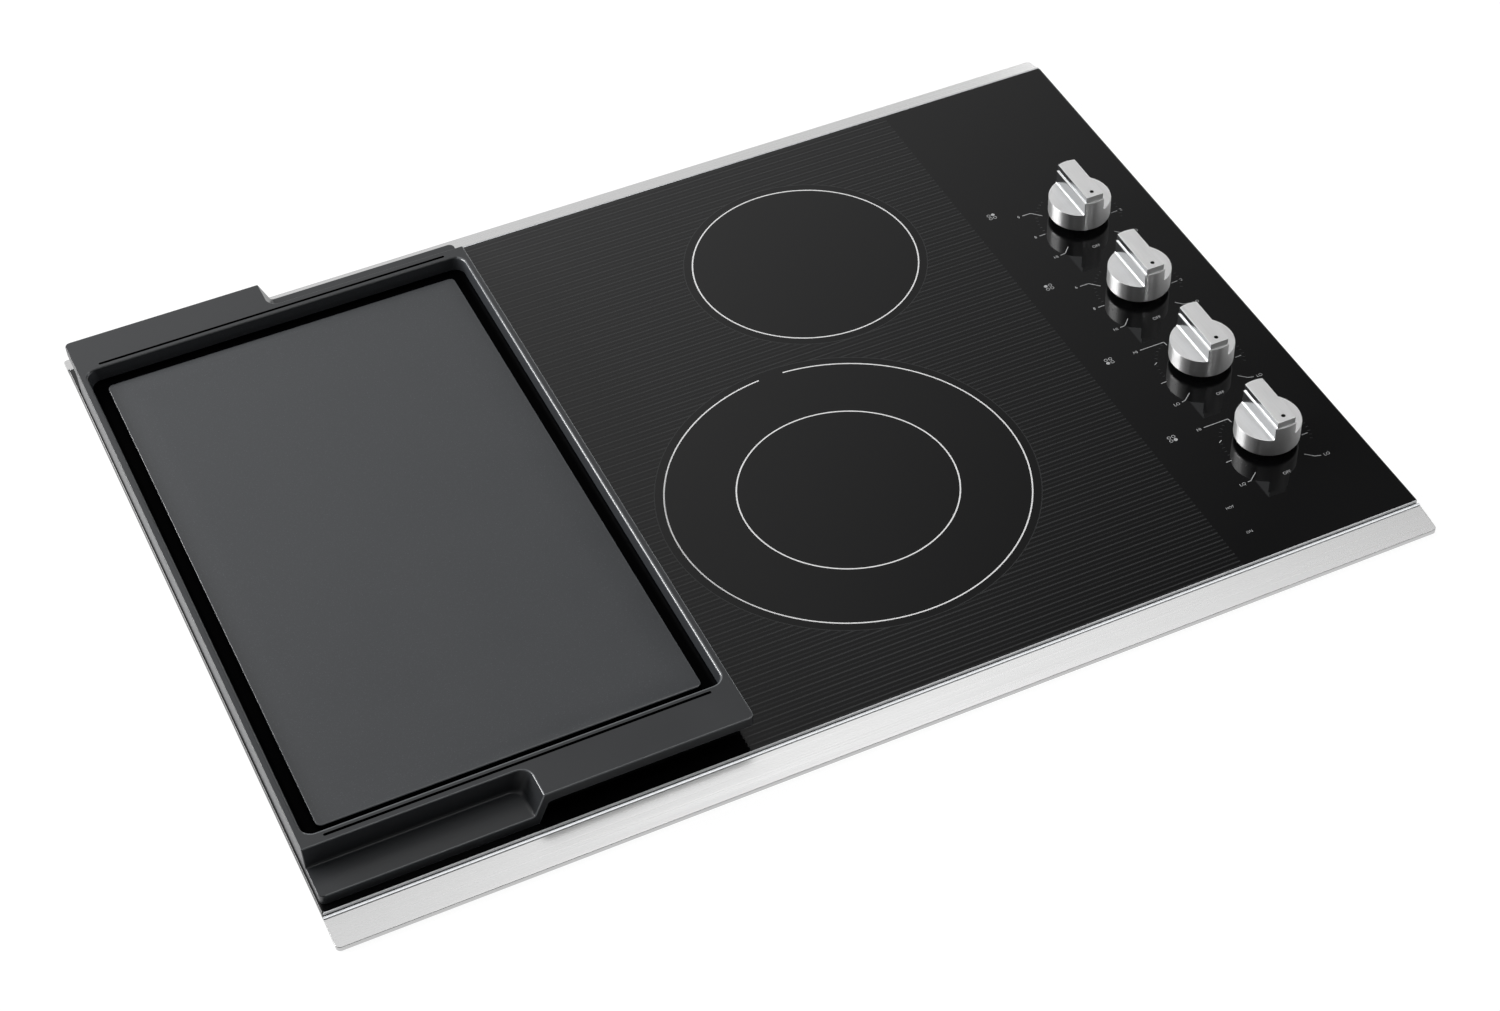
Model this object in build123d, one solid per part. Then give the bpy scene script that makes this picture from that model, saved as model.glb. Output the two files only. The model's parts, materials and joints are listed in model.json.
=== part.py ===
from build123d import *
import os
from math import sqrt

# A radiant glass cooktop for a worktop cutout, with a lift-off reversible griddle over its left zones.
# +X is right, +Y is back and +Z is up. The origin is under the middle of the part, on the box's underside.
# All sizes are millimetres.

# Griddle, a casting that lies on the glass and reads the same when it is turned over
GRIDDLE_WIDTH = 288.6
GRIDDLE_LENGTH = 532.8
GRIDDLE_HEIGHT = 25.0
GRIDDLE_LEDGE_LENGTH = 25.9
GRIDDLE_LEDGE_THICKNESS = 8.0
GRIDDLE_CORNER_RADIUS = 4.5
RISER_HALF_RUN = 3.75
RISER_HALF_OFFSET = 1.25
RISER_INNER_FILLET = 5.0
RISER_OUTER_FILLET = 2.5
RIM_SIDE_WIDTH = 4.8
RIM_END_WIDTH = 9.5
RIM_FLARE = 2.0
TRAY_CORNER_RADIUS = 8.0
MOAT_SIDE_WIDTH = 11.0
MOAT_END_WIDTH = 10.5
MOAT_FLOOR_RADIUS = 2.5
MOAT_FLOOR_HEIGHT = 12.0
PLATE_HEIGHT = 17.5
PLATE_CORNER_RADIUS = 6.0
PLATE_EDGE_RADIUS = 1.5
GROOVE_WIDTH = 2.6
GROOVE_DEPTH = 2.2
GROOVE_CORNER_RADIUS = 1.1
GROOVE_OFFSET = 3.3
GROOVE_END_INSET = 16.0
UNDERSIDE_RECESS = 8.0
UNDERSIDE_RIM_EXTRA = 3.0
RIB_PITCH = 22.0
RIB_WIDTH = 7.0
RIB_HEIGHT = 5.5
RIB_EDGE_CHAMFER = 1.5

# Glass layout, left to right and front to back
GRIDDLE_SIDE_MARGIN = 1.7
GRIDDLE_FRONT_MARGIN = 6.25
GRIDDLE_REAR_MARGIN = 2.25
GRIDDLE_TO_DUAL_ZONE = 26.0
DUAL_ZONE_RADIUS = 125.65
DUAL_INNER_RADIUS = 76.4
DUAL_TO_CONTROLS = 76.7
CONTROL_STRIP_WIDTH = 138.3
REAR_ZONE_RADIUS = 83.1
REAR_ZONE_SHIFT = 75.2
DUAL_FRONT_INSET = 185.2
LEFT_ZONE_RADIUS = 82.6
BRIDGE_WIDTH = 150.0
BRIDGE_LENGTH = 70.0
BRIDGE_CORNER_RADIUS = 18.0
PAN_GAP = 9.0
REAR_PAN_GAP = 11.5

# Glass plate and its bonded edge trims
GLASS_THICKNESS = 4.0
GLASS_CORNER_RADIUS = 4.0
GLASS_EDGE_BEVEL = 0.8
FRONT_TRIM_REACH = 24.3
REAR_TRIM_REACH = 16.3
TRIM_SHEET = 1.2
TRIM_TONGUE = 12.0
TRIM_GAP = 0.8
TRIM_HEM_WIDTH = 2.0
TRIM_HEM_DROP = 0.6
TRIM_FALL = 5.2
TRIM_BEND_RADIUS = 0.8
TRIM_LIP_CLEARANCE = 0.5
GASKET_THICKNESS = 5.0
GASKET_WIDTH = 8.0
GASKET_INSET = 2.0
BOND_THICKNESS = 1.0
BOND_INSET = 0.5

# Burner box
SIDE_OVERHANG = 29.3
END_OVERHANG = 18.15
BOX_HEIGHT = 80.0
BOX_SHEET = 1.0
BOX_CORNER_RADIUS = 12.0
FLANGE_WIDTH = 5.0
VENT_COUNT = 8
VENT_LENGTH = 60.0
VENT_WIDTH = 5.0
VENT_PITCH = 14.0

# Glass rails, the angles that tie the glass to the box's side walls
GLASS_RAIL_SHEET = 1.5
GLASS_RAIL_LEG = 20.0
GLASS_RAIL_FOOT = 14.0
GLASS_RAIL_LENGTH = 420.0
SIDE_SCREW_PITCH = 150.0
SIDE_SCREW_DROP = 10.0

# Radiant elements
ELEMENT_HEIGHT = 32.0
PAN_MARGIN = 9.0
PAN_SHEET = 0.8
PAN_TOP_DROP = 7.1
BED_THICKNESS = 18.0
BED_CLEARANCE = 0.2
DIVIDER_THICKNESS = 5.0
RIBBON_THICKNESS = 1.2
RIBBON_HEIGHT = 6.0
RIBBON_PITCH = 9.0
RIBBON_INNER_RADIUS = 17.0
RIBBON_WALL_GAP = 5.0
RIBBON_LANE = 9.0
LIMITER_ROD_RADIUS = 2.0
LIMITER_ROD_DROP = 4.4
LIMITER_ROD_CLEARANCE = 0.2
LIMITER_PAN_GAP = 0.3
LIMITER_LENGTH = 26.0
LIMITER_WIDTH = 22.0
LIMITER_HEIGHT = 16.5
LIMITER_TOP_DROP = 1.5

# Element rails and springs
RAIL_TOP_WIDTH = 24.0
RAIL_FOOT = 10.0
RAIL_SHEET = 1.2
RAIL_END_GAP = 1.0
RAIL_SCREW_INSET = 20.0
LEFT_RAIL_OFFSET = 45.0
RIGHT_RAIL_FIRST = 20.0
RIGHT_RAIL_SECOND = 100.0
SPRING_SHEET = 1.0
SPRING_WIDTH = 14.0
SPRING_SPAN = 60.0
SPRING_RISE = 22.8
SPRING_FOOT = 8.0
SPRING_GAP = 0.2

# Chassis screws
SCREW_HEAD_RADIUS = 3.5
SCREW_HEAD_HEIGHT = 2.2
SCREW_RADIUS = 1.9
SCREW_CLEARANCE = 0.1
SCREW_TIP_SETBACK = 0.2
SCREW_THREAD_EXTRA = 1.2

# Controls
KNOB_COUNT = 4
KNOB_PITCH = 89.3
KNOB_FRONT_INSET = 99.15
KNOB_SIDE_INSET = 60.7
KNOB_RADIUS = 23.2
KNOB_HEIGHT = 31.0
KNOB_SHOULDER_HEIGHT = 15.2
KNOB_CAP_HEIGHT = 5.2
KNOB_GRIP_WIDTH = 16.3
KNOB_GRIP_FILLET = 3.5
KNOB_CAP_INSET = 0.4
KNOB_CAP_FRONT_INSET = 1.3
KNOB_WALL = 3.2
KNOB_GLASS_GAP = 4.4
KNOB_HUB_RADIUS = 6.5
KNOB_HUB_SETBACK = 1.5
KNOB_SOCKET_DEPTH = 17.0
KNOB_DOT_RADIUS = 1.6
KNOB_DOT_DEPTH = 0.4
KNOB_DOT_OFFSET = 16.6
PUSH_TRAVEL = 3.0
SHAFT_RADIUS = 3.0
SHAFT_FLAT = 2.2
SHAFT_SOCKET_GAP = 0.05
SHAFT_RUN_CLEARANCE = 0.08
SEAL_LIP_RADIUS = 11.0
SEAL_LIP_HEIGHT = 1.8
SEAL_CLEARANCE = 0.3
GLASS_HOLE_RADIUS = 6.5
SWITCH_WIDTH = 44.0
SWITCH_HEIGHT = 32.0
SWITCH_CORNER_RADIUS = 4.0
SWITCH_FLOOR = 5.0
SWITCH_CAVITY_HEIGHT = 20.0
SWITCH_CAVITY_RADIUS = 15.0
SWITCH_COLLAR_RADIUS = 8.0
SWITCH_COLLAR_RISE = 3.0
SWITCH_SCREW_OFFSET = 14.0
SWITCH_SCREW_DEPTH = 6.0
CAM_HEIGHT = 11.0
CAM_CLEARANCE = 0.3
CAM_LOBE_CUT = 5.0
SHAFT_CAM_OVERRUN = 1.0
RETURN_SPRING_SHEET = 0.4
RETURN_SPRING_WIDTH = 6.0
RETURN_SPRING_END_GAP = 1.5
RETURN_SPRING_FOOT = 3.0
RETURN_SPRING_GAP = 0.2
TAB_LENGTH = 8.0
TAB_WIDTH = 6.3
TAB_SHEET = 0.8
TAB_COUNT = 5
TAB_PITCH = 7.5
BRACKET_WIDTH = 52.0
BRACKET_SHEET = 1.5
BRACKET_DROP = 8.0
BRACKET_FOOT = 10.0
BRACKET_END = 35.0
BRACKET_WALL_GAP = 3.0
BRACKET_SCREW_INSET = 12.0
COLLAR_CLEARANCE = 0.2
LAMP_RADIUS = 4.0
LAMP_FLANGE_RADIUS = 5.5
LAMP_FLANGE_HEIGHT = 2.0
LAMP_TAIL = 10.0
LAMP_GLASS_GAP = 0.8
LAMP_CLEARANCE = 0.1
LAMP_FIRST_INSET = 52.0
LAMP_PITCH = 18.0
LAMP_SHIFT = 14.0

# Supply end
CONDUIT_SHIFT = 46.0
CONDUIT_WALL_GAP = 45.0
CONDUIT_POCKET_RADIUS = 24.0
CONDUIT_POCKET_HEIGHT = 8.0
CONDUIT_BORE_RADIUS = 8.5
CONDUIT_BARREL_RADIUS = 11.0
CONDUIT_FLANGE_RADIUS = 15.0
CONDUIT_FLANGE_HEIGHT = 3.0
CONDUIT_LENGTH = 20.0
CONDUIT_CLEARANCE = 0.1
LOCKNUT_ACROSS = 30.0
LOCKNUT_HEIGHT = 4.0
BLOCK_WIDTH = 30.0
BLOCK_LENGTH = 64.0
BLOCK_HEIGHT = 24.0
BLOCK_WALL_GAP = 8.0
BLOCK_BAY_COUNT = 3
BLOCK_BAY_WIDTH = 16.0
BLOCK_BAY_DEPTH = 9.0
BLOCK_BARRIER = 3.0
BLOCK_SCREW_RADIUS = 4.0
BLOCK_SCREW_HEIGHT = 4.0
LEAD_RADIUS = 2.2
LEAD_BEND_RADIUS = 8.0
LEAD_RAIL_GAP = 14.0
LEAD_STUB = 14.0
LEAD_BRACKET_GAP = 18.0
LEAD_BRACKET_HEIGHT = 12.0
LEAD_CLEARANCE = 0.6
LEAD_JOIN_GAP = 0.3
TRUNK_RADIUS = 5.0
REAR_LEAD_SHIFT = 40.0

# Counter clamps
CLAMP_SHEET = 1.5
CLAMP_WIDTH = 30.0
CLAMP_REACH = 22.0
CLAMP_ARM_HEIGHT = 24.0
CLAMP_PLATE_HEIGHT = 34.0
CLAMP_SCREW_RADIUS = 2.5
CLAMP_SCREW_CLEARANCE = 0.1
CLAMP_SCREW_OFFSET = 14.0
CLAMP_SCREW_BELOW = 8.0
CLAMP_HEAD_RADIUS = 5.0
CLAMP_HEAD_HEIGHT = 4.0
CLAMP_FIXING_RISE = 24.0
CLAMP_FIXING_OFFSET = 9.0
COUNTER_THICKNESS = 38.0

# Sizes and levels that follow from the driving dimensions
GLASS_WIDTH = (GRIDDLE_SIDE_MARGIN + GRIDDLE_WIDTH + GRIDDLE_TO_DUAL_ZONE + 2 * DUAL_ZONE_RADIUS
               + DUAL_TO_CONTROLS + CONTROL_STRIP_WIDTH)
GLASS_DEPTH = GRIDDLE_FRONT_MARGIN + GRIDDLE_LENGTH + GRIDDLE_REAR_MARGIN
MID_Y = (FRONT_TRIM_REACH - REAR_TRIM_REACH) / 2
GLASS_LEFT = -GLASS_WIDTH / 2
GLASS_RIGHT = GLASS_WIDTH / 2
GLASS_FRONT = MID_Y - GLASS_DEPTH / 2
GLASS_REAR = MID_Y + GLASS_DEPTH / 2
GLASS_BOTTOM = BOX_HEIGHT + BOND_THICKNESS
GLASS_TOP = GLASS_BOTTOM + GLASS_THICKNESS
COUNTER_LEVEL = GLASS_BOTTOM - GASKET_THICKNESS
BOX_WIDTH = GLASS_WIDTH - 2 * SIDE_OVERHANG
BOX_DEPTH = GLASS_DEPTH - 2 * END_OVERHANG
INNER_WIDTH = BOX_WIDTH - 2 * BOX_SHEET
INNER_DEPTH = BOX_DEPTH - 2 * BOX_SHEET
INNER_FRONT = MID_Y - INNER_DEPTH / 2
INNER_REAR = MID_Y + INNER_DEPTH / 2

GRIDDLE_X = GLASS_LEFT + GRIDDLE_SIDE_MARGIN + GRIDDLE_WIDTH / 2
GRIDDLE_Y = GLASS_FRONT + GRIDDLE_FRONT_MARGIN + GRIDDLE_LENGTH / 2
DUAL_X = GLASS_LEFT + GRIDDLE_SIDE_MARGIN + GRIDDLE_WIDTH + GRIDDLE_TO_DUAL_ZONE + DUAL_ZONE_RADIUS
DUAL_Y = GLASS_FRONT + DUAL_FRONT_INSET
REAR_X = DUAL_X + REAR_ZONE_SHIFT
REAR_REACH = DUAL_ZONE_RADIUS + REAR_ZONE_RADIUS + 2 * PAN_MARGIN + REAR_PAN_GAP
REAR_Y = DUAL_Y + sqrt(REAR_REACH ** 2 - REAR_ZONE_SHIFT ** 2)
LEFT_ZONE_STEP = LEFT_ZONE_RADIUS + PAN_MARGIN + PAN_GAP + BRIDGE_LENGTH / 2

PAN_BOTTOM = GLASS_BOTTOM - ELEMENT_HEIGHT
PAN_TOP = GLASS_BOTTOM - PAN_TOP_DROP
BED_TOP = PAN_BOTTOM + PAN_SHEET + BED_THICKNESS
ROD_LEVEL = GLASS_BOTTOM - LIMITER_ROD_DROP
RAIL_TOP = PAN_BOTTOM - SPRING_GAP - SPRING_RISE
LEAD_HEIGHT = RAIL_TOP + LEAD_RAIL_GAP
RAIL_XS = (GRIDDLE_X - LEFT_RAIL_OFFSET, GRIDDLE_X + LEFT_RAIL_OFFSET,
           DUAL_X + RIGHT_RAIL_FIRST, DUAL_X + RIGHT_RAIL_SECOND)
RAIL_LENGTH = INNER_DEPTH - 2 * RAIL_END_GAP

KNOB_X = GLASS_RIGHT - KNOB_SIDE_INSET
KNOB_YS = [GLASS_FRONT + KNOB_FRONT_INSET + KNOB_PITCH * (KNOB_COUNT - 1 - i) for i in range(KNOB_COUNT)]
KNOB_BOTTOM = GLASS_TOP + KNOB_GLASS_GAP
HUB_BOTTOM = KNOB_BOTTOM + KNOB_HUB_SETBACK
BRACKET_TOP = GLASS_BOTTOM - BRACKET_DROP
BRACKET_LEFT = KNOB_X - BRACKET_WIDTH / 2
BRACKET_RIGHT = KNOB_X + BRACKET_WIDTH / 2
BRACKET_FRONT = INNER_FRONT + BRACKET_WALL_GAP
BRACKET_REAR = KNOB_YS[0] + BRACKET_END
SWITCH_TOP = BRACKET_TOP - BRACKET_SHEET
SWITCH_BOTTOM = SWITCH_TOP - SWITCH_HEIGHT
CAVITY_BOTTOM = SWITCH_BOTTOM + SWITCH_FLOOR
CAVITY_TOP = CAVITY_BOTTOM + SWITCH_CAVITY_HEIGHT
CAM_TOP = CAVITY_TOP - CAM_CLEARANCE
CAM_BOTTOM = CAM_TOP - CAM_HEIGHT
SHAFT_BOTTOM = CAM_BOTTOM - SHAFT_CAM_OVERRUN
SHAFT_TOP = HUB_BOTTOM + KNOB_SOCKET_DEPTH - SHAFT_SOCKET_GAP
SCREW_HOLE_RADIUS = SCREW_RADIUS + SCREW_CLEARANCE
LAMP_X = KNOB_X - LAMP_SHIFT
LAMP_YS = [INNER_FRONT + LAMP_FIRST_INSET - LAMP_PITCH * i for i in range(2)]

CONDUIT_X = KNOB_X - CONDUIT_SHIFT
CONDUIT_Y = INNER_REAR - CONDUIT_WALL_GAP
BLOCK_REAR = INNER_REAR - BLOCK_WALL_GAP
BLOCK_FRONT = BLOCK_REAR - BLOCK_LENGTH
TRUNK_LEVEL = BOX_SHEET + LEAD_BRACKET_HEIGHT


# Shared shapes

def block(x0, x1, y0, y1, z0, z1):
    """A box from its limits along each axis."""
    return Pos((x0 + x1) / 2, (y0 + y1) / 2, (z0 + z1) / 2) * Box(x1 - x0, y1 - y0, z1 - z0)


def post(x, y, z0, z1, radius):
    """An upright cylinder from its foot to its top."""
    return Pos(x, y, (z0 + z1) / 2) * Cylinder(radius, z1 - z0)


def slab(width, depth, radius, x, y, z0, z1):
    """An upright prism with a rounded rectangular plan."""
    return Pos(x, y, z0) * extrude(RectangleRounded(width, depth, radius), z1 - z0)


def prism_along_x(points, half_length, x):
    """A prism along X from its outline in Y and Z."""
    face = Plane.YZ * make_face(Polyline(*points, close=True))
    return Pos(x, 0, 0) * extrude(face, half_length, both=True)


def prism_along_y(points, half_length, y):
    """A prism along Y from its outline in X and Z."""
    face = Plane.XZ * make_face(Polyline(*points, close=True))
    return Pos(0, y, 0) * extrude(face, half_length, both=True)


def bow_spring(span, foot, rise, sheet, width):
    """A bowed leaf along Y: two flat feet at z = 0 and a crest at z = rise."""
    half = span / 2
    upper = ThreePointArc((-half, sheet), (0, rise), (half, sheet))
    lower = ThreePointArc((-half, 0), (0, rise - sheet), (half, 0))
    outline = [
        upper,
        Line((half, sheet), (half + foot, sheet)),
        Line((half + foot, sheet), (half + foot, 0)),
        Line((half + foot, 0), (half, 0)),
        lower,
        Line((-half, 0), (-half - foot, 0)),
        Line((-half - foot, 0), (-half - foot, sheet)),
        Line((-half - foot, sheet), (-half, sheet)),
    ]
    return extrude(Plane.YZ * make_face(outline), width / 2, both=True)


def screw(length):
    """A pan head screw whose head sits on z = 0 and whose shank points down."""
    return post(0, 0, 0, SCREW_HEAD_HEIGHT, SCREW_HEAD_RADIUS) + post(0, 0, -length, 0, SCREW_RADIUS)


def save(node, shape):
    """Write one sub-part, or a group of like pieces, under its node's name."""
    pieces = list(shape) if isinstance(shape, (list, tuple)) else [shape]
    export_step(pieces[0] if len(pieces) == 1 else Compound(children=pieces), f"parts/{node}.step")


# Glass, trims and seals

def make_glass():
    """The glass plate with bevelled edges and one hole for each control shaft."""
    plate = slab(GLASS_WIDTH, GLASS_DEPTH, GLASS_CORNER_RADIUS, 0, MID_Y, GLASS_BOTTOM, GLASS_TOP)
    plate = chamfer(plate.faces().sort_by(Axis.Z)[-1].edges(), GLASS_EDGE_BEVEL)
    for y in KNOB_YS:
        plate -= post(KNOB_X, y, GLASS_BOTTOM, GLASS_TOP, GLASS_HOLE_RADIUS)
    return plate


def make_trim(reach, side):
    """A folded steel trim: a tongue under the glass, a hem beside its edge and a sloping face to a lip."""
    edge = MID_Y + side * GLASS_DEPTH / 2
    hem_top = GLASS_TOP - TRIM_HEM_DROP
    slope_end = GLASS_TOP - TRIM_FALL
    lip = COUNTER_LEVEL + TRIM_LIP_CLEARANCE
    hem = TRIM_GAP + TRIM_HEM_WIDTH
    outline = [
        (-TRIM_TONGUE, GLASS_BOTTOM), (TRIM_GAP, GLASS_BOTTOM), (TRIM_GAP, hem_top), (hem, hem_top),
        (reach, slope_end), (reach, lip), (reach - TRIM_SHEET, lip),
        (reach - TRIM_SHEET, slope_end - TRIM_SHEET), (hem, hem_top - TRIM_SHEET),
        (TRIM_GAP + TRIM_SHEET, hem_top - TRIM_SHEET), (TRIM_GAP + TRIM_SHEET, GLASS_BOTTOM - TRIM_SHEET),
        (-TRIM_TONGUE, GLASS_BOTTOM - TRIM_SHEET),
    ]
    trim = prism_along_x([(edge + side * y, z) for y, z in outline], GLASS_WIDTH / 2, 0)
    bend = [e for e in trim.edges().filter_by(Axis.X)
            if abs(e.center().Y - (edge + side * reach)) < TRIM_SHEET / 2
            and abs(e.center().Z - slope_end) < TRIM_SHEET / 2]
    return fillet(bend, TRIM_BEND_RADIUS)


def make_gasket():
    """The foam strip that the rim lies on, relieved for the trims' tongues at the front and the back."""
    width = GLASS_WIDTH - 2 * GASKET_INSET
    depth = GLASS_DEPTH - 2 * GASKET_INSET
    ring = slab(width, depth, GLASS_CORNER_RADIUS, 0, MID_Y, COUNTER_LEVEL, GLASS_BOTTOM)
    ring -= slab(width - 2 * GASKET_WIDTH, depth - 2 * GASKET_WIDTH, GLASS_CORNER_RADIUS, 0, MID_Y,
                 COUNTER_LEVEL, GLASS_BOTTOM)
    for side in (-1, 1):
        edge = MID_Y + side * GLASS_DEPTH / 2
        near, far = sorted((edge, edge - side * TRIM_TONGUE))
        ring -= block(GLASS_LEFT, GLASS_RIGHT, near, far, GLASS_BOTTOM - TRIM_SHEET, GLASS_BOTTOM)
    return ring


def make_glass_rails():
    """Two steel angles, one inside each side wall, that the glass is bonded to."""
    rails = []
    for side in (-1, 1):
        wall = side * INNER_WIDTH / 2
        leg = (wall, wall - side * GLASS_RAIL_SHEET)
        foot = (wall, wall - side * GLASS_RAIL_FOOT)
        y0, y1 = MID_Y - GLASS_RAIL_LENGTH / 2, MID_Y + GLASS_RAIL_LENGTH / 2
        angle = block(min(leg), max(leg), y0, y1, BOX_HEIGHT - GLASS_RAIL_LEG, BOX_HEIGHT)
        angle += block(min(foot), max(foot), y0, y1, BOX_HEIGHT - GLASS_RAIL_SHEET, BOX_HEIGHT)
        for y in side_screw_ys():
            hole = Rot(0, 90, 0) * Cylinder(SCREW_HOLE_RADIUS, 4 * GLASS_RAIL_SHEET)
            angle -= Pos(wall, y, BOX_HEIGHT - SIDE_SCREW_DROP) * hole
        rails.append(angle)
    return rails


def make_bond():
    """The adhesive beds between the glass and the metal: one on the box's flange and one on each rail."""
    outer_width = BOX_WIDTH + 2 * FLANGE_WIDTH - 2 * BOND_INSET
    outer_depth = BOX_DEPTH + 2 * FLANGE_WIDTH - 2 * BOND_INSET
    corner = BOX_CORNER_RADIUS + FLANGE_WIDTH - BOND_INSET
    ring = slab(outer_width, outer_depth, corner, 0, MID_Y, BOX_HEIGHT, GLASS_BOTTOM)
    ring -= slab(BOX_WIDTH + 2 * BOND_INSET, BOX_DEPTH + 2 * BOND_INSET, BOX_CORNER_RADIUS + BOND_INSET,
                 0, MID_Y, BOX_HEIGHT, GLASS_BOTTOM)
    beds = [ring]
    for side in (-1, 1):
        wall = side * INNER_WIDTH / 2
        limits = sorted((wall - side * BOND_INSET, wall - side * (GLASS_RAIL_FOOT - BOND_INSET)))
        half = GLASS_RAIL_LENGTH / 2 - BOND_INSET
        beds.append(block(*limits, MID_Y - half, MID_Y + half, BOX_HEIGHT, GLASS_BOTTOM))
    return beds


# Burner box

def side_screw_ys():
    """Where the side screws stand along each wall."""
    return [MID_Y + SIDE_SCREW_PITCH * i for i in (-1, 0, 1)]


def rail_screw_points():
    """One screw at each end of each element rail, on opposite feet."""
    offset = RAIL_TOP_WIDTH / 2 + RAIL_FOOT / 2
    reach = RAIL_LENGTH / 2 - RAIL_SCREW_INSET
    return [(x + side * offset, MID_Y + side * reach) for x in RAIL_XS for side in (-1, 1)]


def bracket_screw_points():
    """One screw near each end of each of the switch bracket's feet."""
    inset = BRACKET_SHEET + BRACKET_FOOT / 2
    xs = (BRACKET_LEFT + inset, BRACKET_RIGHT - inset)
    return [(x, y) for x in xs for y in (BRACKET_FRONT + BRACKET_SCREW_INSET, BRACKET_REAR - BRACKET_SCREW_INSET)]


def clamp_fixing_points():
    """The two fixings of a counter clamp, as Y and Z."""
    return [(MID_Y + side * CLAMP_FIXING_OFFSET, CLAMP_ARM_HEIGHT + CLAMP_FIXING_RISE) for side in (-1, 1)]


def make_box():
    """The folded steel box with its flange, floor vents, screw holes and a raised pocket for the conduit."""
    box = slab(BOX_WIDTH, BOX_DEPTH, BOX_CORNER_RADIUS, 0, MID_Y, 0, BOX_HEIGHT)
    inner_radius = BOX_CORNER_RADIUS - BOX_SHEET
    box += slab(BOX_WIDTH + 2 * FLANGE_WIDTH, BOX_DEPTH + 2 * FLANGE_WIDTH, BOX_CORNER_RADIUS + FLANGE_WIDTH,
                0, MID_Y, BOX_HEIGHT - BOX_SHEET, BOX_HEIGHT)
    box -= slab(INNER_WIDTH, INNER_DEPTH, inner_radius, 0, MID_Y, BOX_SHEET, BOX_HEIGHT)
    pocket_top = CONDUIT_POCKET_HEIGHT + BOX_SHEET
    box += post(CONDUIT_X, CONDUIT_Y, 0, pocket_top, CONDUIT_POCKET_RADIUS + BOX_SHEET)
    box -= post(CONDUIT_X, CONDUIT_Y, 0, CONDUIT_POCKET_HEIGHT, CONDUIT_POCKET_RADIUS)
    box -= post(CONDUIT_X, CONDUIT_Y, 0, pocket_top, CONDUIT_BARREL_RADIUS + CONDUIT_CLEARANCE)
    vent_x = (RAIL_XS[-1] + RAIL_TOP_WIDTH / 2 + RAIL_FOOT + BRACKET_LEFT) / 2
    for i in range(VENT_COUNT):
        y = MID_Y - VENT_PITCH * (i + 1)
        box -= block(vent_x - VENT_LENGTH / 2, vent_x + VENT_LENGTH / 2, y, y + VENT_WIDTH, 0, BOX_SHEET)
    for x, y in rail_screw_points() + bracket_screw_points():
        box -= post(x, y, 0, BOX_SHEET, SCREW_HOLE_RADIUS)
    wall_hole = Rot(0, 90, 0) * Cylinder(SCREW_HOLE_RADIUS, 4 * BOX_SHEET)
    for side in (-1, 1):
        for y in side_screw_ys():
            box -= Pos(side * BOX_WIDTH / 2, y, BOX_HEIGHT - SIDE_SCREW_DROP) * wall_hole
        for y, z in clamp_fixing_points():
            box -= Pos(side * BOX_WIDTH / 2, y, z) * wall_hole
    return box


def make_chassis_screws():
    """The sheet metal screws of the element rails, the switch bracket, the side walls and the clamps."""
    screws = []
    for points, sheet in ((rail_screw_points(), RAIL_SHEET), (bracket_screw_points(), BRACKET_SHEET)):
        for x, y in points:
            screws.append(Pos(x, y, BOX_SHEET + sheet) * screw(sheet + BOX_SHEET - SCREW_TIP_SETBACK))
    for side in (-1, 1):
        turn = Rot(0, 90 * side, 0)
        wall = side * BOX_WIDTH / 2
        for y in side_screw_ys():
            length = BOX_SHEET + GLASS_RAIL_SHEET + SCREW_THREAD_EXTRA
            screws.append(Pos(wall, y, BOX_HEIGHT - SIDE_SCREW_DROP) * turn * screw(length))
        for y, z in clamp_fixing_points():
            length = CLAMP_SHEET + BOX_SHEET + SCREW_THREAD_EXTRA
            screws.append(Pos(wall + side * CLAMP_SHEET, y, z) * turn * screw(length))
    return screws


def make_clamps():
    """One counter clamp on each side wall: an angle with a hole for its clamp screw."""
    clamps = []
    for side in (-1, 1):
        wall = side * BOX_WIDTH / 2
        plate = sorted((wall, wall + side * CLAMP_SHEET))
        arm = sorted((wall, wall + side * CLAMP_REACH))
        y0, y1 = MID_Y - CLAMP_WIDTH / 2, MID_Y + CLAMP_WIDTH / 2
        clamp = block(*plate, y0, y1, CLAMP_ARM_HEIGHT, CLAMP_ARM_HEIGHT + CLAMP_PLATE_HEIGHT)
        clamp += block(*arm, y0, y1, CLAMP_ARM_HEIGHT, CLAMP_ARM_HEIGHT + CLAMP_SHEET)
        clamp -= post(wall + side * CLAMP_SCREW_OFFSET, MID_Y, CLAMP_ARM_HEIGHT, CLAMP_ARM_HEIGHT + CLAMP_SHEET,
                      CLAMP_SCREW_RADIUS + CLAMP_SCREW_CLEARANCE)
        for y, z in clamp_fixing_points():
            clamp -= Pos(wall, y, z) * Rot(0, 90, 0) * Cylinder(SCREW_HOLE_RADIUS, 4 * CLAMP_SHEET)
        clamps.append(clamp)
    return clamps


def make_clamp_screws():
    """The clamp screws, whose tips press up on the counter's underside."""
    screws = []
    for side in (-1, 1):
        x = side * (BOX_WIDTH / 2 + CLAMP_SCREW_OFFSET)
        foot = CLAMP_ARM_HEIGHT - CLAMP_SCREW_BELOW
        shank = post(x, MID_Y, foot, COUNTER_LEVEL - COUNTER_THICKNESS, CLAMP_SCREW_RADIUS)
        head = Pos(x, MID_Y, foot - CLAMP_HEAD_HEIGHT) * extrude(RegularPolygon(CLAMP_HEAD_RADIUS, 6), CLAMP_HEAD_HEIGHT)
        screws.append(shank + head)
    return screws


# Radiant elements

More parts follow.
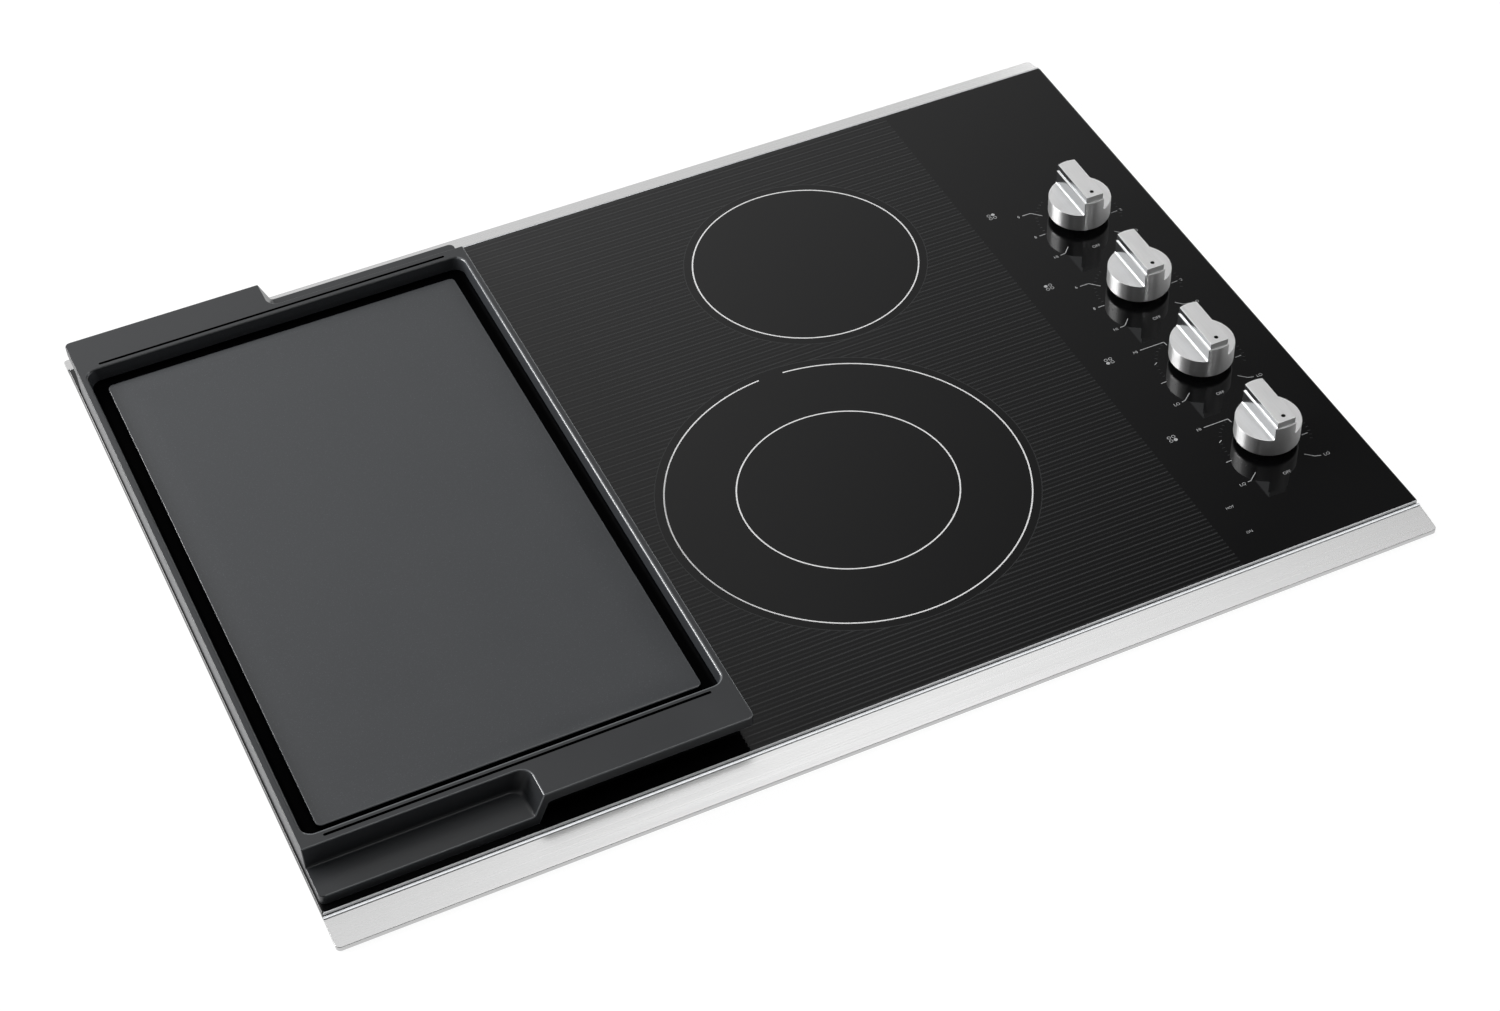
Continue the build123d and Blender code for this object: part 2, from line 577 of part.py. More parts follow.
def round_pan(x, y, zone):
    """A shallow round dish."""
    radius = zone + PAN_MARGIN
    dish = post(x, y, PAN_BOTTOM, PAN_TOP, radius)
    return dish - post(x, y, PAN_BOTTOM + PAN_SHEET, PAN_TOP, radius - PAN_SHEET)


def rod_hole(x, y, reach):
    """The way through an insulating wall for a limiter's rod, which leaves towards +X."""
    hole = Rot(0, 90, 0) * Cylinder(LIMITER_ROD_RADIUS + LIMITER_ROD_CLEARANCE, reach)
    return Pos(x + reach / 2, y, ROD_LEVEL) * hole


def round_insulation(x, y, zone, divider=0):
    """A moulded insulating bed with a wall up to the glass, and a divider round the inner zone of a dual element."""
    radius = zone + PAN_MARGIN - PAN_SHEET - BED_CLEARANCE
    bed = post(x, y, PAN_BOTTOM + PAN_SHEET, GLASS_BOTTOM, radius)
    bed -= post(x, y, BED_TOP, GLASS_BOTTOM, zone)
    if divider:
        wall = post(x, y, BED_TOP, GLASS_BOTTOM, divider + DIVIDER_THICKNESS / 2)
        bed += wall - post(x, y, BED_TOP, GLASS_BOTTOM, divider - DIVIDER_THICKNESS / 2)
        reach = divider + DIVIDER_THICKNESS
        bed -= Pos(-reach, 0, 0) * rod_hole(x, y, reach)
    return bed - rod_hole(x, y, radius + PAN_MARGIN)


def round_ribbon(x, y, inner, outer):
    """One heater ribbon on edge, laid as open rings that join end to end across a lane on the +X side."""
    count = int((outer - inner) // RIBBON_PITCH) + 1
    radii = [outer - RIBBON_PITCH * i for i in range(count)]
    half = RIBBON_THICKNESS / 2
    lane = RIBBON_LANE / 2
    pattern = Sketch()
    for radius in radii:
        ring = Circle(radius + half) - Circle(radius - half)
        pattern += ring - Pos(outer, 0) * Rectangle(2 * outer, RIBBON_LANE)
    for i in range(count - 1):
        side = 1 if i % 2 == 0 else -1
        far = sqrt(radii[i] ** 2 - lane ** 2) + half
        near = sqrt(radii[i + 1] ** 2 - lane ** 2) - half
        pattern += Pos((far + near) / 2, side * (lane + half)) * Rectangle(far - near, RIBBON_THICKNESS)
    return Pos(x, y, BED_TOP) * extrude(pattern, RIBBON_HEIGHT)


def limiter(x, y, pan_reach, inward):
    """A temperature limiter: a ceramic switch block outside the pan, with a sensing rod across the zone."""
    face = x + pan_reach + LIMITER_PAN_GAP
    top = GLASS_BOTTOM - LIMITER_TOP_DROP
    body = block(face, face + LIMITER_LENGTH, y - LIMITER_WIDTH / 2, y + LIMITER_WIDTH / 2, top - LIMITER_HEIGHT, top)
    length = pan_reach + LIMITER_PAN_GAP + inward
    rod = Rot(0, 90, 0) * Cylinder(LIMITER_ROD_RADIUS, length)
    return body + Pos(face - length / 2, y, ROD_LEVEL) * rod


def make_round_element(name, x, y, zone, divider=0):
    """Write one round element's pan, insulation and ribbon, and hand back its limiter."""
    outer = zone - RIBBON_WALL_GAP
    save(f"{name}_pan", round_pan(x, y, zone))
    save(f"{name}_insulation", round_insulation(x, y, zone, divider))
    if divider:
        gap = DIVIDER_THICKNESS / 2 + RIBBON_WALL_GAP
        ribbons = [round_ribbon(x, y, RIBBON_INNER_RADIUS, divider - gap), round_ribbon(x, y, divider + gap, outer)]
    else:
        ribbons = round_ribbon(x, y, RIBBON_INNER_RADIUS, outer)
    save(f"{name}_ribbon", ribbons)
    return limiter(x, y, zone + PAN_MARGIN, outer)


def make_bridge_element(x, y):
    """Write the oblong element between the two left zones, and hand back its limiter."""
    width, length = BRIDGE_WIDTH, BRIDGE_LENGTH
    corner = BRIDGE_CORNER_RADIUS
    pan = slab(width, length, corner, x, y, PAN_BOTTOM, PAN_TOP)
    pan -= slab(width - 2 * PAN_SHEET, length - 2 * PAN_SHEET, corner - PAN_SHEET, x, y,
                PAN_BOTTOM + PAN_SHEET, PAN_TOP)
    inset = PAN_SHEET + BED_CLEARANCE
    bed = slab(width - 2 * inset, length - 2 * inset, corner - inset, x, y, PAN_BOTTOM + PAN_SHEET, GLASS_BOTTOM)
    bed -= slab(width - 2 * PAN_MARGIN, length - 2 * PAN_MARGIN, corner - PAN_MARGIN, x, y, BED_TOP, GLASS_BOTTOM)
    bed -= rod_hole(x, y, width / 2 + PAN_MARGIN)
    half_run = width / 2 - PAN_MARGIN - RIBBON_WALL_GAP
    lanes = int((length - 2 * PAN_MARGIN - 2 * RIBBON_WALL_GAP) // RIBBON_PITCH) + 1
    first = -RIBBON_PITCH * (lanes - 1) / 2
    pattern = Sketch()
    for i in range(lanes):
        pattern += Pos(0, first + RIBBON_PITCH * i) * Rectangle(2 * half_run, RIBBON_THICKNESS)
    for i in range(lanes - 1):
        end = (half_run - RIBBON_THICKNESS / 2) * (1 if i % 2 == 0 else -1)
        middle = first + RIBBON_PITCH * (i + 0.5)
        pattern += Pos(end, middle) * Rectangle(RIBBON_THICKNESS, RIBBON_PITCH + RIBBON_THICKNESS)
    save("bridge_element_pan", pan)
    save("bridge_element_insulation", bed)
    save("bridge_element_ribbon", Pos(x, y, BED_TOP) * extrude(pattern, RIBBON_HEIGHT))
    return limiter(x, y, width / 2, half_run)


def make_rails():
    """The hat section rails on the box's floor that carry the elements' springs."""
    half = RAIL_TOP_WIDTH / 2
    floor = BOX_SHEET
    rails = []
    for x in RAIL_XS:
        outline = [
            (-half - RAIL_FOOT, floor + RAIL_SHEET), (-half, floor + RAIL_SHEET), (-half, RAIL_TOP),
            (half, RAIL_TOP), (half, floor + RAIL_SHEET), (half + RAIL_FOOT, floor + RAIL_SHEET),
            (half + RAIL_FOOT, floor), (half - RAIL_SHEET, floor), (half - RAIL_SHEET, RAIL_TOP - RAIL_SHEET),
            (-half + RAIL_SHEET, RAIL_TOP - RAIL_SHEET), (-half + RAIL_SHEET, floor), (-half - RAIL_FOOT, floor),
        ]
        rail = prism_along_y([(x + dx, z) for dx, z in outline], RAIL_LENGTH / 2, MID_Y)
        for sx, sy in rail_screw_points():
            if abs(sx - x) < half + RAIL_FOOT:
                rail -= post(sx, sy, floor, floor + RAIL_SHEET, SCREW_HOLE_RADIUS)
        rails.append(rail)
    return rails


def make_element_springs():
    """A bowed leaf on each rail under each element, which holds its pan up to the glass."""
    spring = bow_spring(SPRING_SPAN, SPRING_FOOT, SPRING_RISE, SPRING_SHEET, SPRING_WIDTH)
    left_ys = (GRIDDLE_Y - LEFT_ZONE_STEP, GRIDDLE_Y, GRIDDLE_Y + LEFT_ZONE_STEP)
    places = [(x, y) for x in RAIL_XS[:2] for y in left_ys]
    places += [(x, y) for x in RAIL_XS[2:] for y in (DUAL_Y, REAR_Y)]
    return [Pos(x, y, RAIL_TOP) * spring for x, y in places]


# Controls

def d_section(radius, flat, z0, z1, y):
    """A D-shaped bar on a control's axis, flat on its +X side."""
    bar = post(KNOB_X, y, z0, z1, radius)
    return bar - block(KNOB_X + flat, KNOB_X + 2 * radius, y - radius, y + radius, z0, z1)


def make_bracket():
    """The channel under the glass that carries the switches and lamps, with lead holes through its left leg."""
    left, right, sheet, foot = BRACKET_LEFT, BRACKET_RIGHT, BRACKET_SHEET, BRACKET_FOOT
    floor = BOX_SHEET
    outline = [
        (left, floor), (left, BRACKET_TOP), (right, BRACKET_TOP), (right, floor),
        (right - sheet - foot, floor), (right - sheet - foot, floor + sheet), (right - sheet, floor + sheet),
        (right - sheet, BRACKET_TOP - sheet), (left + sheet, BRACKET_TOP - sheet), (left + sheet, floor + sheet),
        (left + sheet + foot, floor + sheet), (left + sheet + foot, floor),
    ]
    middle = (BRACKET_FRONT + BRACKET_REAR) / 2
    bracket = prism_along_y(outline, (BRACKET_REAR - BRACKET_FRONT) / 2, middle)
    for y in KNOB_YS:
        bracket -= post(KNOB_X, y, SWITCH_TOP, BRACKET_TOP, SWITCH_COLLAR_RADIUS + COLLAR_CLEARANCE)
        for dy in (-SWITCH_SCREW_OFFSET, SWITCH_SCREW_OFFSET):
            bracket -= post(KNOB_X, y + dy, SWITCH_TOP, BRACKET_TOP, SCREW_HOLE_RADIUS)
    for y in LAMP_YS:
        bracket -= post(LAMP_X, y, SWITCH_TOP, BRACKET_TOP, LAMP_RADIUS + LAMP_CLEARANCE)
    for x, y in bracket_screw_points():
        bracket -= post(x, y, floor, floor + sheet, SCREW_HOLE_RADIUS)
    for x, y, lead_y in lead_places():
        hole = Rot(0, 90, 0) * Cylinder(LEAD_RADIUS + LEAD_CLEARANCE, 4 * sheet)
        bracket -= Pos(left, lead_y, TRUNK_LEVEL) * hole
    return bracket


def make_switch_body(y):
    """A switch housing under the bracket, with a collar for the shaft and a round chamber for the cam."""
    body = slab(SWITCH_WIDTH, SWITCH_WIDTH, SWITCH_CORNER_RADIUS, KNOB_X, y, SWITCH_BOTTOM, SWITCH_TOP)
    body += post(KNOB_X, y, SWITCH_TOP, BRACKET_TOP + SWITCH_COLLAR_RISE, SWITCH_COLLAR_RADIUS)
    body -= post(KNOB_X, y, CAVITY_BOTTOM, CAVITY_TOP, SWITCH_CAVITY_RADIUS)
    body -= post(KNOB_X, y, CAVITY_TOP, BRACKET_TOP + SWITCH_COLLAR_RISE, SHAFT_RADIUS + SHAFT_RUN_CLEARANCE)
    for dy in (-SWITCH_SCREW_OFFSET, SWITCH_SCREW_OFFSET):
        body -= post(KNOB_X, y + dy, SWITCH_TOP - SWITCH_SCREW_DEPTH, SWITCH_TOP, SCREW_HOLE_RADIUS)
    return body


def make_cam(y):
    """The switch's cam: a disc with a flat on its edge, turned by the shaft that slides through it."""
    radius = SWITCH_CAVITY_RADIUS - CAM_CLEARANCE
    cam = post(KNOB_X, y, CAM_BOTTOM, CAM_TOP, radius)
    cam -= block(KNOB_X - radius, KNOB_X + radius, y + radius - CAM_LOBE_CUT, y + radius, CAM_BOTTOM, CAM_TOP)
    gap = SHAFT_RUN_CLEARANCE
    return cam - d_section(SHAFT_RADIUS + gap, SHAFT_FLAT + gap, CAM_BOTTOM, CAM_TOP, y)


def make_return_spring(y):
    """The bowed leaf under the shaft that lifts the knob back after a push."""
    rise = SHAFT_BOTTOM - CAVITY_BOTTOM - RETURN_SPRING_GAP
    span = 2 * (SWITCH_CAVITY_RADIUS - RETURN_SPRING_END_GAP - RETURN_SPRING_FOOT)
    leaf = bow_spring(span, RETURN_SPRING_FOOT, rise, RETURN_SPRING_SHEET, RETURN_SPRING_WIDTH)
    return Pos(KNOB_X, y, CAVITY_BOTTOM) * leaf


def make_knob(y):
    """A round metal knob: a grip bar across a scooped body, a flat cap with a pointer dot, and a hub inside."""
    shoulder = KNOB_SHOULDER_HEIGHT
    cap_base = KNOB_HEIGHT - KNOB_CAP_HEIGHT
    grip = KNOB_GRIP_WIDTH / 2
    body = post(0, 0, 0, shoulder, KNOB_RADIUS)
    bar = block(-grip, grip, -KNOB_RADIUS, KNOB_RADIUS, shoulder, cap_base)
    for side in (-1, 1):
        scoop = make_face([
            Line((side * grip, shoulder), (side * grip, shoulder + KNOB_GRIP_FILLET)),
            RadiusArc((side * grip, shoulder + KNOB_GRIP_FILLET), (side * (grip + KNOB_GRIP_FILLET), shoulder),
                      -side * KNOB_GRIP_FILLET),
            Line((side * (grip + KNOB_GRIP_FILLET), shoulder), (side * grip, shoulder)),
        ])
        bar += extrude(Plane.XZ * scoop, KNOB_RADIUS, both=True)
    body += bar & post(0, 0, shoulder, cap_base, KNOB_RADIUS)
    cap = block(-grip + KNOB_CAP_INSET, grip - KNOB_CAP_INSET, -KNOB_RADIUS + KNOB_CAP_FRONT_INSET, KNOB_RADIUS,
                cap_base, KNOB_HEIGHT)
    body += cap & post(0, 0, cap_base, KNOB_HEIGHT, KNOB_RADIUS - KNOB_CAP_INSET)
    body -= post(0, 0, 0, shoulder - KNOB_WALL, KNOB_RADIUS - KNOB_WALL)
    body += post(0, 0, KNOB_HUB_SETBACK, shoulder - KNOB_WALL, KNOB_HUB_RADIUS)
    body -= post(0, -KNOB_DOT_OFFSET, KNOB_HEIGHT - KNOB_DOT_DEPTH, KNOB_HEIGHT, KNOB_DOT_RADIUS)
    knob = Pos(KNOB_X, y, KNOB_BOTTOM) * body
    gap = SHAFT_SOCKET_GAP
    return knob - d_section(SHAFT_RADIUS + gap, SHAFT_FLAT + gap, HUB_BOTTOM, HUB_BOTTOM + KNOB_SOCKET_DEPTH, y)


def make_seal(y):
    """A rubber grommet in a glass hole, with a lip on the glass."""
    grommet = post(KNOB_X, y, GLASS_BOTTOM, GLASS_TOP, GLASS_HOLE_RADIUS)
    grommet += post(KNOB_X, y, GLASS_TOP, GLASS_TOP + SEAL_LIP_HEIGHT, SEAL_LIP_RADIUS)
    return grommet - post(KNOB_X, y, GLASS_BOTTOM, GLASS_TOP + SEAL_LIP_HEIGHT, SHAFT_RADIUS + SEAL_CLEARANCE)


def make_tabs():
    """The blade terminals under the switches."""
    tabs = []
    for y in KNOB_YS:
        for i in range(TAB_COUNT):
            x = KNOB_X + TAB_PITCH * (i - (TAB_COUNT - 1) / 2)
            tabs.append(block(x - TAB_SHEET / 2, x + TAB_SHEET / 2, y - TAB_WIDTH / 2, y + TAB_WIDTH / 2,
                              SWITCH_BOTTOM - TAB_LENGTH, SWITCH_BOTTOM))
    return tabs


def make_switch_screws():
    """Two screws through the bracket into each switch."""
    length = BRACKET_SHEET + SWITCH_SCREW_DEPTH - SCREW_TIP_SETBACK
    return [Pos(KNOB_X, y + dy, BRACKET_TOP) * screw(length)
            for y in KNOB_YS for dy in (-SWITCH_SCREW_OFFSET, SWITCH_SCREW_OFFSET)]


def make_lamps():
    """Two indicator lamps, held in the bracket by a flange and reaching up to the glass."""
    lamps = []
    for y in LAMP_YS:
        lamp = post(LAMP_X, y, SWITCH_TOP - LAMP_TAIL, GLASS_BOTTOM - LAMP_GLASS_GAP, LAMP_RADIUS)
        lamps.append(lamp + post(LAMP_X, y, BRACKET_TOP, BRACKET_TOP + LAMP_FLANGE_HEIGHT, LAMP_FLANGE_RADIUS))
    return lamps


# Supply end and wiring

def make_conduit():
    """A conduit connector through the pocket's roof, and the locknut that holds it."""
    roof = CONDUIT_POCKET_HEIGHT
    foot = roof - CONDUIT_FLANGE_HEIGHT
    connector = post(CONDUIT_X, CONDUIT_Y, foot, roof, CONDUIT_FLANGE_RADIUS)
    connector += post(CONDUIT_X, CONDUIT_Y, roof, foot + CONDUIT_LENGTH, CONDUIT_BARREL_RADIUS)
    connector -= post(CONDUIT_X, CONDUIT_Y, foot, foot + CONDUIT_LENGTH, CONDUIT_BORE_RADIUS)
    nut = extrude(RegularPolygon(LOCKNUT_ACROSS / 2, 6, major_radius=False), LOCKNUT_HEIGHT)
    nut -= post(0, 0, 0, LOCKNUT_HEIGHT, CONDUIT_BARREL_RADIUS + CONDUIT_CLEARANCE)
    return connector, Pos(CONDUIT_X, CONDUIT_Y, roof + BOX_SHEET) * nut


def bay_ys():
    """The middles of the terminal block's bays."""
    pitch = BLOCK_BAY_WIDTH + BLOCK_BARRIER
    middle = (BLOCK_FRONT + BLOCK_REAR) / 2
    return [middle + pitch * (i - (BLOCK_BAY_COUNT - 1) / 2) for i in range(BLOCK_BAY_COUNT)]


def make_terminal_block():
    """A moulded block on the floor with a bay for each supply wire."""
    body = block(KNOB_X - BLOCK_WIDTH / 2, KNOB_X + BLOCK_WIDTH / 2, BLOCK_FRONT, BLOCK_REAR,
                 BOX_SHEET, BOX_SHEET + BLOCK_HEIGHT)
    top = BOX_SHEET + BLOCK_HEIGHT
    for y in bay_ys():
        body -= block(KNOB_X - BLOCK_WIDTH / 2, KNOB_X + BLOCK_WIDTH / 2, y - BLOCK_BAY_WIDTH / 2,
                      y + BLOCK_BAY_WIDTH / 2, top - BLOCK_BAY_DEPTH, top)
    return body


def make_terminal_screws():
    """One brass binding screw in each bay."""
    seat = BOX_SHEET + BLOCK_HEIGHT - BLOCK_BAY_DEPTH
    return [post(KNOB_X, y, seat, seat + BLOCK_SCREW_HEIGHT, BLOCK_SCREW_RADIUS) for y in bay_ys()]


def lead_places():
    """Each limiter's outer end, as X and Y, and the Y at which its lead crosses the box."""
    tail = PAN_MARGIN + LIMITER_PAN_GAP + LIMITER_LENGTH
    left = GRIDDLE_X + LEFT_ZONE_RADIUS + tail
    bridge = GRIDDLE_X + BRIDGE_WIDTH / 2 + LIMITER_PAN_GAP + LIMITER_LENGTH
    rear_crossing = REAR_Y - REAR_LEAD_SHIFT
    return [
        (left, GRIDDLE_Y - LEFT_ZONE_STEP, GRIDDLE_Y - LEFT_ZONE_STEP),
        (bridge, GRIDDLE_Y, GRIDDLE_Y),
        (left, GRIDDLE_Y + LEFT_ZONE_STEP, rear_crossing),
        (DUAL_X + DUAL_ZONE_RADIUS + tail, DUAL_Y, DUAL_Y),
        (REAR_X + REAR_ZONE_RADIUS + tail, REAR_Y, rear_crossing - 4 * LEAD_RADIUS),
    ]


def make_wiring():
    """The leads from the limiters into the switch bracket, and the trunk that runs along it to the supply."""
    wires = []
    for x, y, lead_y in lead_places():
        bend = x + LEAD_STUB
        drop = BRACKET_LEFT - LEAD_BRACKET_GAP
        level = GLASS_BOTTOM - LIMITER_TOP_DROP - LIMITER_HEIGHT / 2
        points = [(x, y, level), (bend, y, level), (bend, y, LEAD_HEIGHT)]
        if abs(lead_y - y) > LEAD_RADIUS:
            points.append((bend, lead_y, LEAD_HEIGHT))
        points += [(drop, lead_y, LEAD_HEIGHT), (drop, lead_y, TRUNK_LEVEL),
                   (KNOB_X - TRUNK_RADIUS - LEAD_JOIN_GAP, lead_y, TRUNK_LEVEL)]
        path = FilletPolyline(*points, radius=LEAD_BEND_RADIUS)
        wires.append(sweep(Plane(path @ 0, z_dir=path % 0) * Circle(LEAD_RADIUS), path))
    start = BRACKET_FRONT + BRACKET_END
    run = BLOCK_FRONT - LEAD_JOIN_GAP - start
    wires.append(Pos(KNOB_X, start + run / 2, TRUNK_LEVEL) * Rot(90, 0, 0) * Cylinder(TRUNK_RADIUS, run))
    for y in KNOB_YS:
        wires.append(post(KNOB_X, y, TRUNK_LEVEL + TRUNK_RADIUS + LEAD_JOIN_GAP,
                          SWITCH_BOTTOM - TAB_LENGTH - LEAD_JOIN_GAP, LEAD_RADIUS))
    return wires


# Griddle

def griddle_end(turn):
    """The stepped end: a low ledge and a raised ledge joined by a slanting riser, turned for the far end."""
    half_width = GRIDDLE_WIDTH / 2
    low = GRIDDLE_LEDGE_THICKNESS
    high = GRIDDLE_HEIGHT - GRIDDLE_LEDGE_THICKNESS
    offset, run = RISER_HALF_OFFSET, RISER_HALF_RUN
    outline = [
        (-half_width, 0), (offset - run, 0), (offset + run, high), (half_width, high),
        (half_width, GRIDDLE_HEIGHT), (run - offset, GRIDDLE_HEIGHT), (-offset - run, low), (-half_width, low),
    ]
    face = make_face(Polyline(*outline, close=True))
    inner = [v for v in face.vertices() if abs(abs(v.X) - offset - run) < offset]
    face = fillet(inner, RISER_INNER_FILLET)
    outer = [v for v in face.vertices() if abs(v.X) < half_width / 2 and v.Y in (0, GRIDDLE_HEIGHT)]
    face = fillet(outer, RISER_OUTER_FILLET)
    bar = extrude(Plane.XZ * face, GRIDDLE_LEDGE_LENGTH + RIM_END_WIDTH)
    return Rot(0, 0, turn) * Pos(0, -GRIDDLE_LENGTH / 2 + GRIDDLE_LEDGE_LENGTH + RIM_END_WIDTH, 0) * bar


def make_griddle():
    """The griddle: a rimmed tray with a raised plate in a grease moat, stepped ends, and ribs underneath."""
    rim_length = GRIDDLE_LENGTH - 2 * GRIDDLE_LEDGE_LENGTH
    body = slab(GRIDDLE_WIDTH, rim_length, GRIDDLE_CORNER_RADIUS, 0, 0, 0, GRIDDLE_HEIGHT)
    body += griddle_end(0)
    body += griddle_end(180)
    body &= slab(GRIDDLE_WIDTH, GRIDDLE_LENGTH, GRIDDLE_CORNER_RADIUS, 0, 0, 0, GRIDDLE_HEIGHT)

    tray_width = GRIDDLE_WIDTH - 2 * RIM_SIDE_WIDTH
    tray_length = rim_length - 2 * RIM_END_WIDTH
    mouth = Pos(0, 0, GRIDDLE_HEIGHT) * RectangleRounded(tray_width, tray_length, TRAY_CORNER_RADIUS)
    floor = Pos(0, 0, MOAT_FLOOR_HEIGHT) * RectangleRounded(
        tray_width - 2 * RIM_FLARE, tray_length - 2 * RIM_FLARE, TRAY_CORNER_RADIUS - RIM_FLARE)
    tray = loft([floor, mouth])
    tray = fillet(tray.faces().sort_by(Axis.Z)[0].edges(), MOAT_FLOOR_RADIUS)
    plate_width = tray_width - 2 * MOAT_SIDE_WIDTH
    plate_length = tray_length - 2 * MOAT_END_WIDTH
    plate = slab(plate_width, plate_length, PLATE_CORNER_RADIUS, 0, 0, MOAT_FLOOR_HEIGHT, PLATE_HEIGHT)
    plate = fillet(plate.faces().sort_by(Axis.Z)[-1].edges(), PLATE_EDGE_RADIUS)
    body -= tray - plate

    groove_length = GRIDDLE_WIDTH - 2 * GROOVE_END_INSET
    groove_y = tray_length / 2 + GROOVE_OFFSET + GROOVE_WIDTH / 2
    for side in (-1, 1):
        body -= slab(groove_length, GROOVE_WIDTH, GROOVE_CORNER_RADIUS, 0, side * groove_y,
                     GRIDDLE_HEIGHT - GROOVE_DEPTH, GRIDDLE_HEIGHT)

    recess_width = tray_width - 2 * UNDERSIDE_RIM_EXTRA
    recess_length = tray_length - 2 * UNDERSIDE_RIM_EXTRA
    recess = slab(recess_width, recess_length, TRAY_CORNER_RADIUS, 0, 0, 0, UNDERSIDE_RECESS)
    rib_count = int((recess_length - RIB_WIDTH) // RIB_PITCH)
    rib_foot = UNDERSIDE_RECESS - RIB_HEIGHT
    half = RIB_WIDTH / 2
    taper = half - RIB_EDGE_CHAMFER
    outline = [(-half, UNDERSIDE_RECESS), (-taper, rib_foot), (taper, rib_foot), (half, UNDERSIDE_RECESS)]
    for i in range(rib_count):
        y = RIB_PITCH * (i - (rib_count - 1) / 2)
        recess -= prism_along_x([(y + dy, z) for dy, z in outline], plate_width / 2, 0)
    body -= recess
    return Pos(GRIDDLE_X, GRIDDLE_Y, GLASS_TOP) * body


# Write every sub-part

def main():
    os.makedirs("parts", exist_ok=True)
    save("glass_top", make_glass())
    save("front_trim", make_trim(FRONT_TRIM_REACH, -1))
    save("rear_trim", make_trim(REAR_TRIM_REACH, 1))
    save("counter_gasket", make_gasket())
    save("glass_rails", make_glass_rails())
    save("glass_bond", make_bond())
    save("burner_box", make_box())
    save("chassis_screws", make_chassis_screws())
    save("counter_clamps", make_clamps())
    save("clamp_screws", make_clamp_screws())

    save("element_limiters", [
        make_round_element("left_front_element", GRIDDLE_X, GRIDDLE_Y - LEFT_ZONE_STEP, LEFT_ZONE_RADIUS),
        make_round_element("left_rear_element", GRIDDLE_X, GRIDDLE_Y + LEFT_ZONE_STEP, LEFT_ZONE_RADIUS),
        make_round_element("right_rear_element", REAR_X, REAR_Y, REAR_ZONE_RADIUS),
        make_round_element("dual_element", DUAL_X, DUAL_Y, DUAL_ZONE_RADIUS, DUAL_INNER_RADIUS),
        make_bridge_element(GRIDDLE_X, GRIDDLE_Y),
    ])
    save("element_rails", make_rails())
    save("element_springs", make_element_springs())

    save("switch_bracket", make_bracket())
    save("switch_bodies", [make_switch_body(y) for y in KNOB_YS])
    save("switch_screws", make_switch_screws())
    save("switch_tabs", make_tabs())
    save("indicator_lamps", make_lamps())
    save("shaft_seals", [make_seal(y) for y in KNOB_YS])
    for number, y in enumerate(KNOB_YS, 1):
        save(f"switch_cam_{number}", make_cam(y))
        save(f"return_spring_{number}", make_return_spring(y))
        save(f"knob_shaft_{number}", d_section(SHAFT_RADIUS, SHAFT_FLAT, SHAFT_BOTTOM, SHAFT_TOP, y))
        save(f"knob_{number}", make_knob(y))

    connector, nut = make_conduit()
    save("conduit_connector", connector)
    save("conduit_locknut", nut)
    save("terminal_block", make_terminal_block())
    save("terminal_screws", make_terminal_screws())
    save("wiring", make_wiring())
    save("griddle", make_griddle())


if __name__ == "__main__":
    main()
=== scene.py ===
"""A built-in electric cooktop with a lift-off griddle, dressed around its CAD frame."""

import json
from functools import partial
from math import asin, atan2, cos, radians, sin

import bpy
from bpy.props import FloatProperty, FloatVectorProperty, PointerProperty
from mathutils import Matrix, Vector


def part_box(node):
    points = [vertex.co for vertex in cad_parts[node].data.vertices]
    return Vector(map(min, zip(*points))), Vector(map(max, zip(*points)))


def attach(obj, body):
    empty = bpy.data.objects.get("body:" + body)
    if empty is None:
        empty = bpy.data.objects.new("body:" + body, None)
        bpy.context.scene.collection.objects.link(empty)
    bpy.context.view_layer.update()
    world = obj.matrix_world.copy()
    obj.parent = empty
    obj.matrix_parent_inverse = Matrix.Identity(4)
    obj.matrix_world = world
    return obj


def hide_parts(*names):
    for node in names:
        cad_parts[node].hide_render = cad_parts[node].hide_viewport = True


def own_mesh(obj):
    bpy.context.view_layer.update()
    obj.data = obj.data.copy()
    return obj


bl_info = {
    "name": "Cooktop with griddle",
    "version": (1, 0, 0),
    "blender": (4, 5, 0),
    "location": "3D View > Sidebar > Cooktop",
    "description": "Models the glass, trims, griddle, knobs and printed marks of a built-in cooktop",
    "category": "Object",
}

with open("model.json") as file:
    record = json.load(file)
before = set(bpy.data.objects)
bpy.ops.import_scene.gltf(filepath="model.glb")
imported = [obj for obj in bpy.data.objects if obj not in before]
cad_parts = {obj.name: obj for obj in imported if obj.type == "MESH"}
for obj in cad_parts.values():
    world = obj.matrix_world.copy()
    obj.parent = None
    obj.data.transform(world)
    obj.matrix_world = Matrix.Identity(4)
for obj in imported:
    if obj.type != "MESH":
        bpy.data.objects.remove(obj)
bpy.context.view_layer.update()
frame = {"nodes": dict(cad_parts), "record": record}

MM = 0.001
NEAR = 0.02 * MM
DOUBLES = 0.002 * MM
SMOOTH_ANGLE = radians(32.0)
RIDGE_ANGLE = radians(40.0)
KNOBS = (1, 2, 3, 4)
GLASS_LOW, GLASS_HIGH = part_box("glass_top")
GRIDDLE_LOW, GRIDDLE_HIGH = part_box("griddle")
GRIDDLE_MID = (GRIDDLE_LOW + GRIDDLE_HIGH) / 2
GASKET_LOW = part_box("counter_gasket")[0]
BOX_LOW, BOX_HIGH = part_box("burner_box")
BRIDGE_LOW, BRIDGE_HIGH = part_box("bridge_element_pan")
TOP = GLASS_HIGH.z
PRINT_RISE = 0.05 * MM
PAN_MARGIN = 9.0 * MM
BRIDGE_HALF = (BRIDGE_HIGH.x - BRIDGE_LOW.x) / 2 - PAN_MARGIN
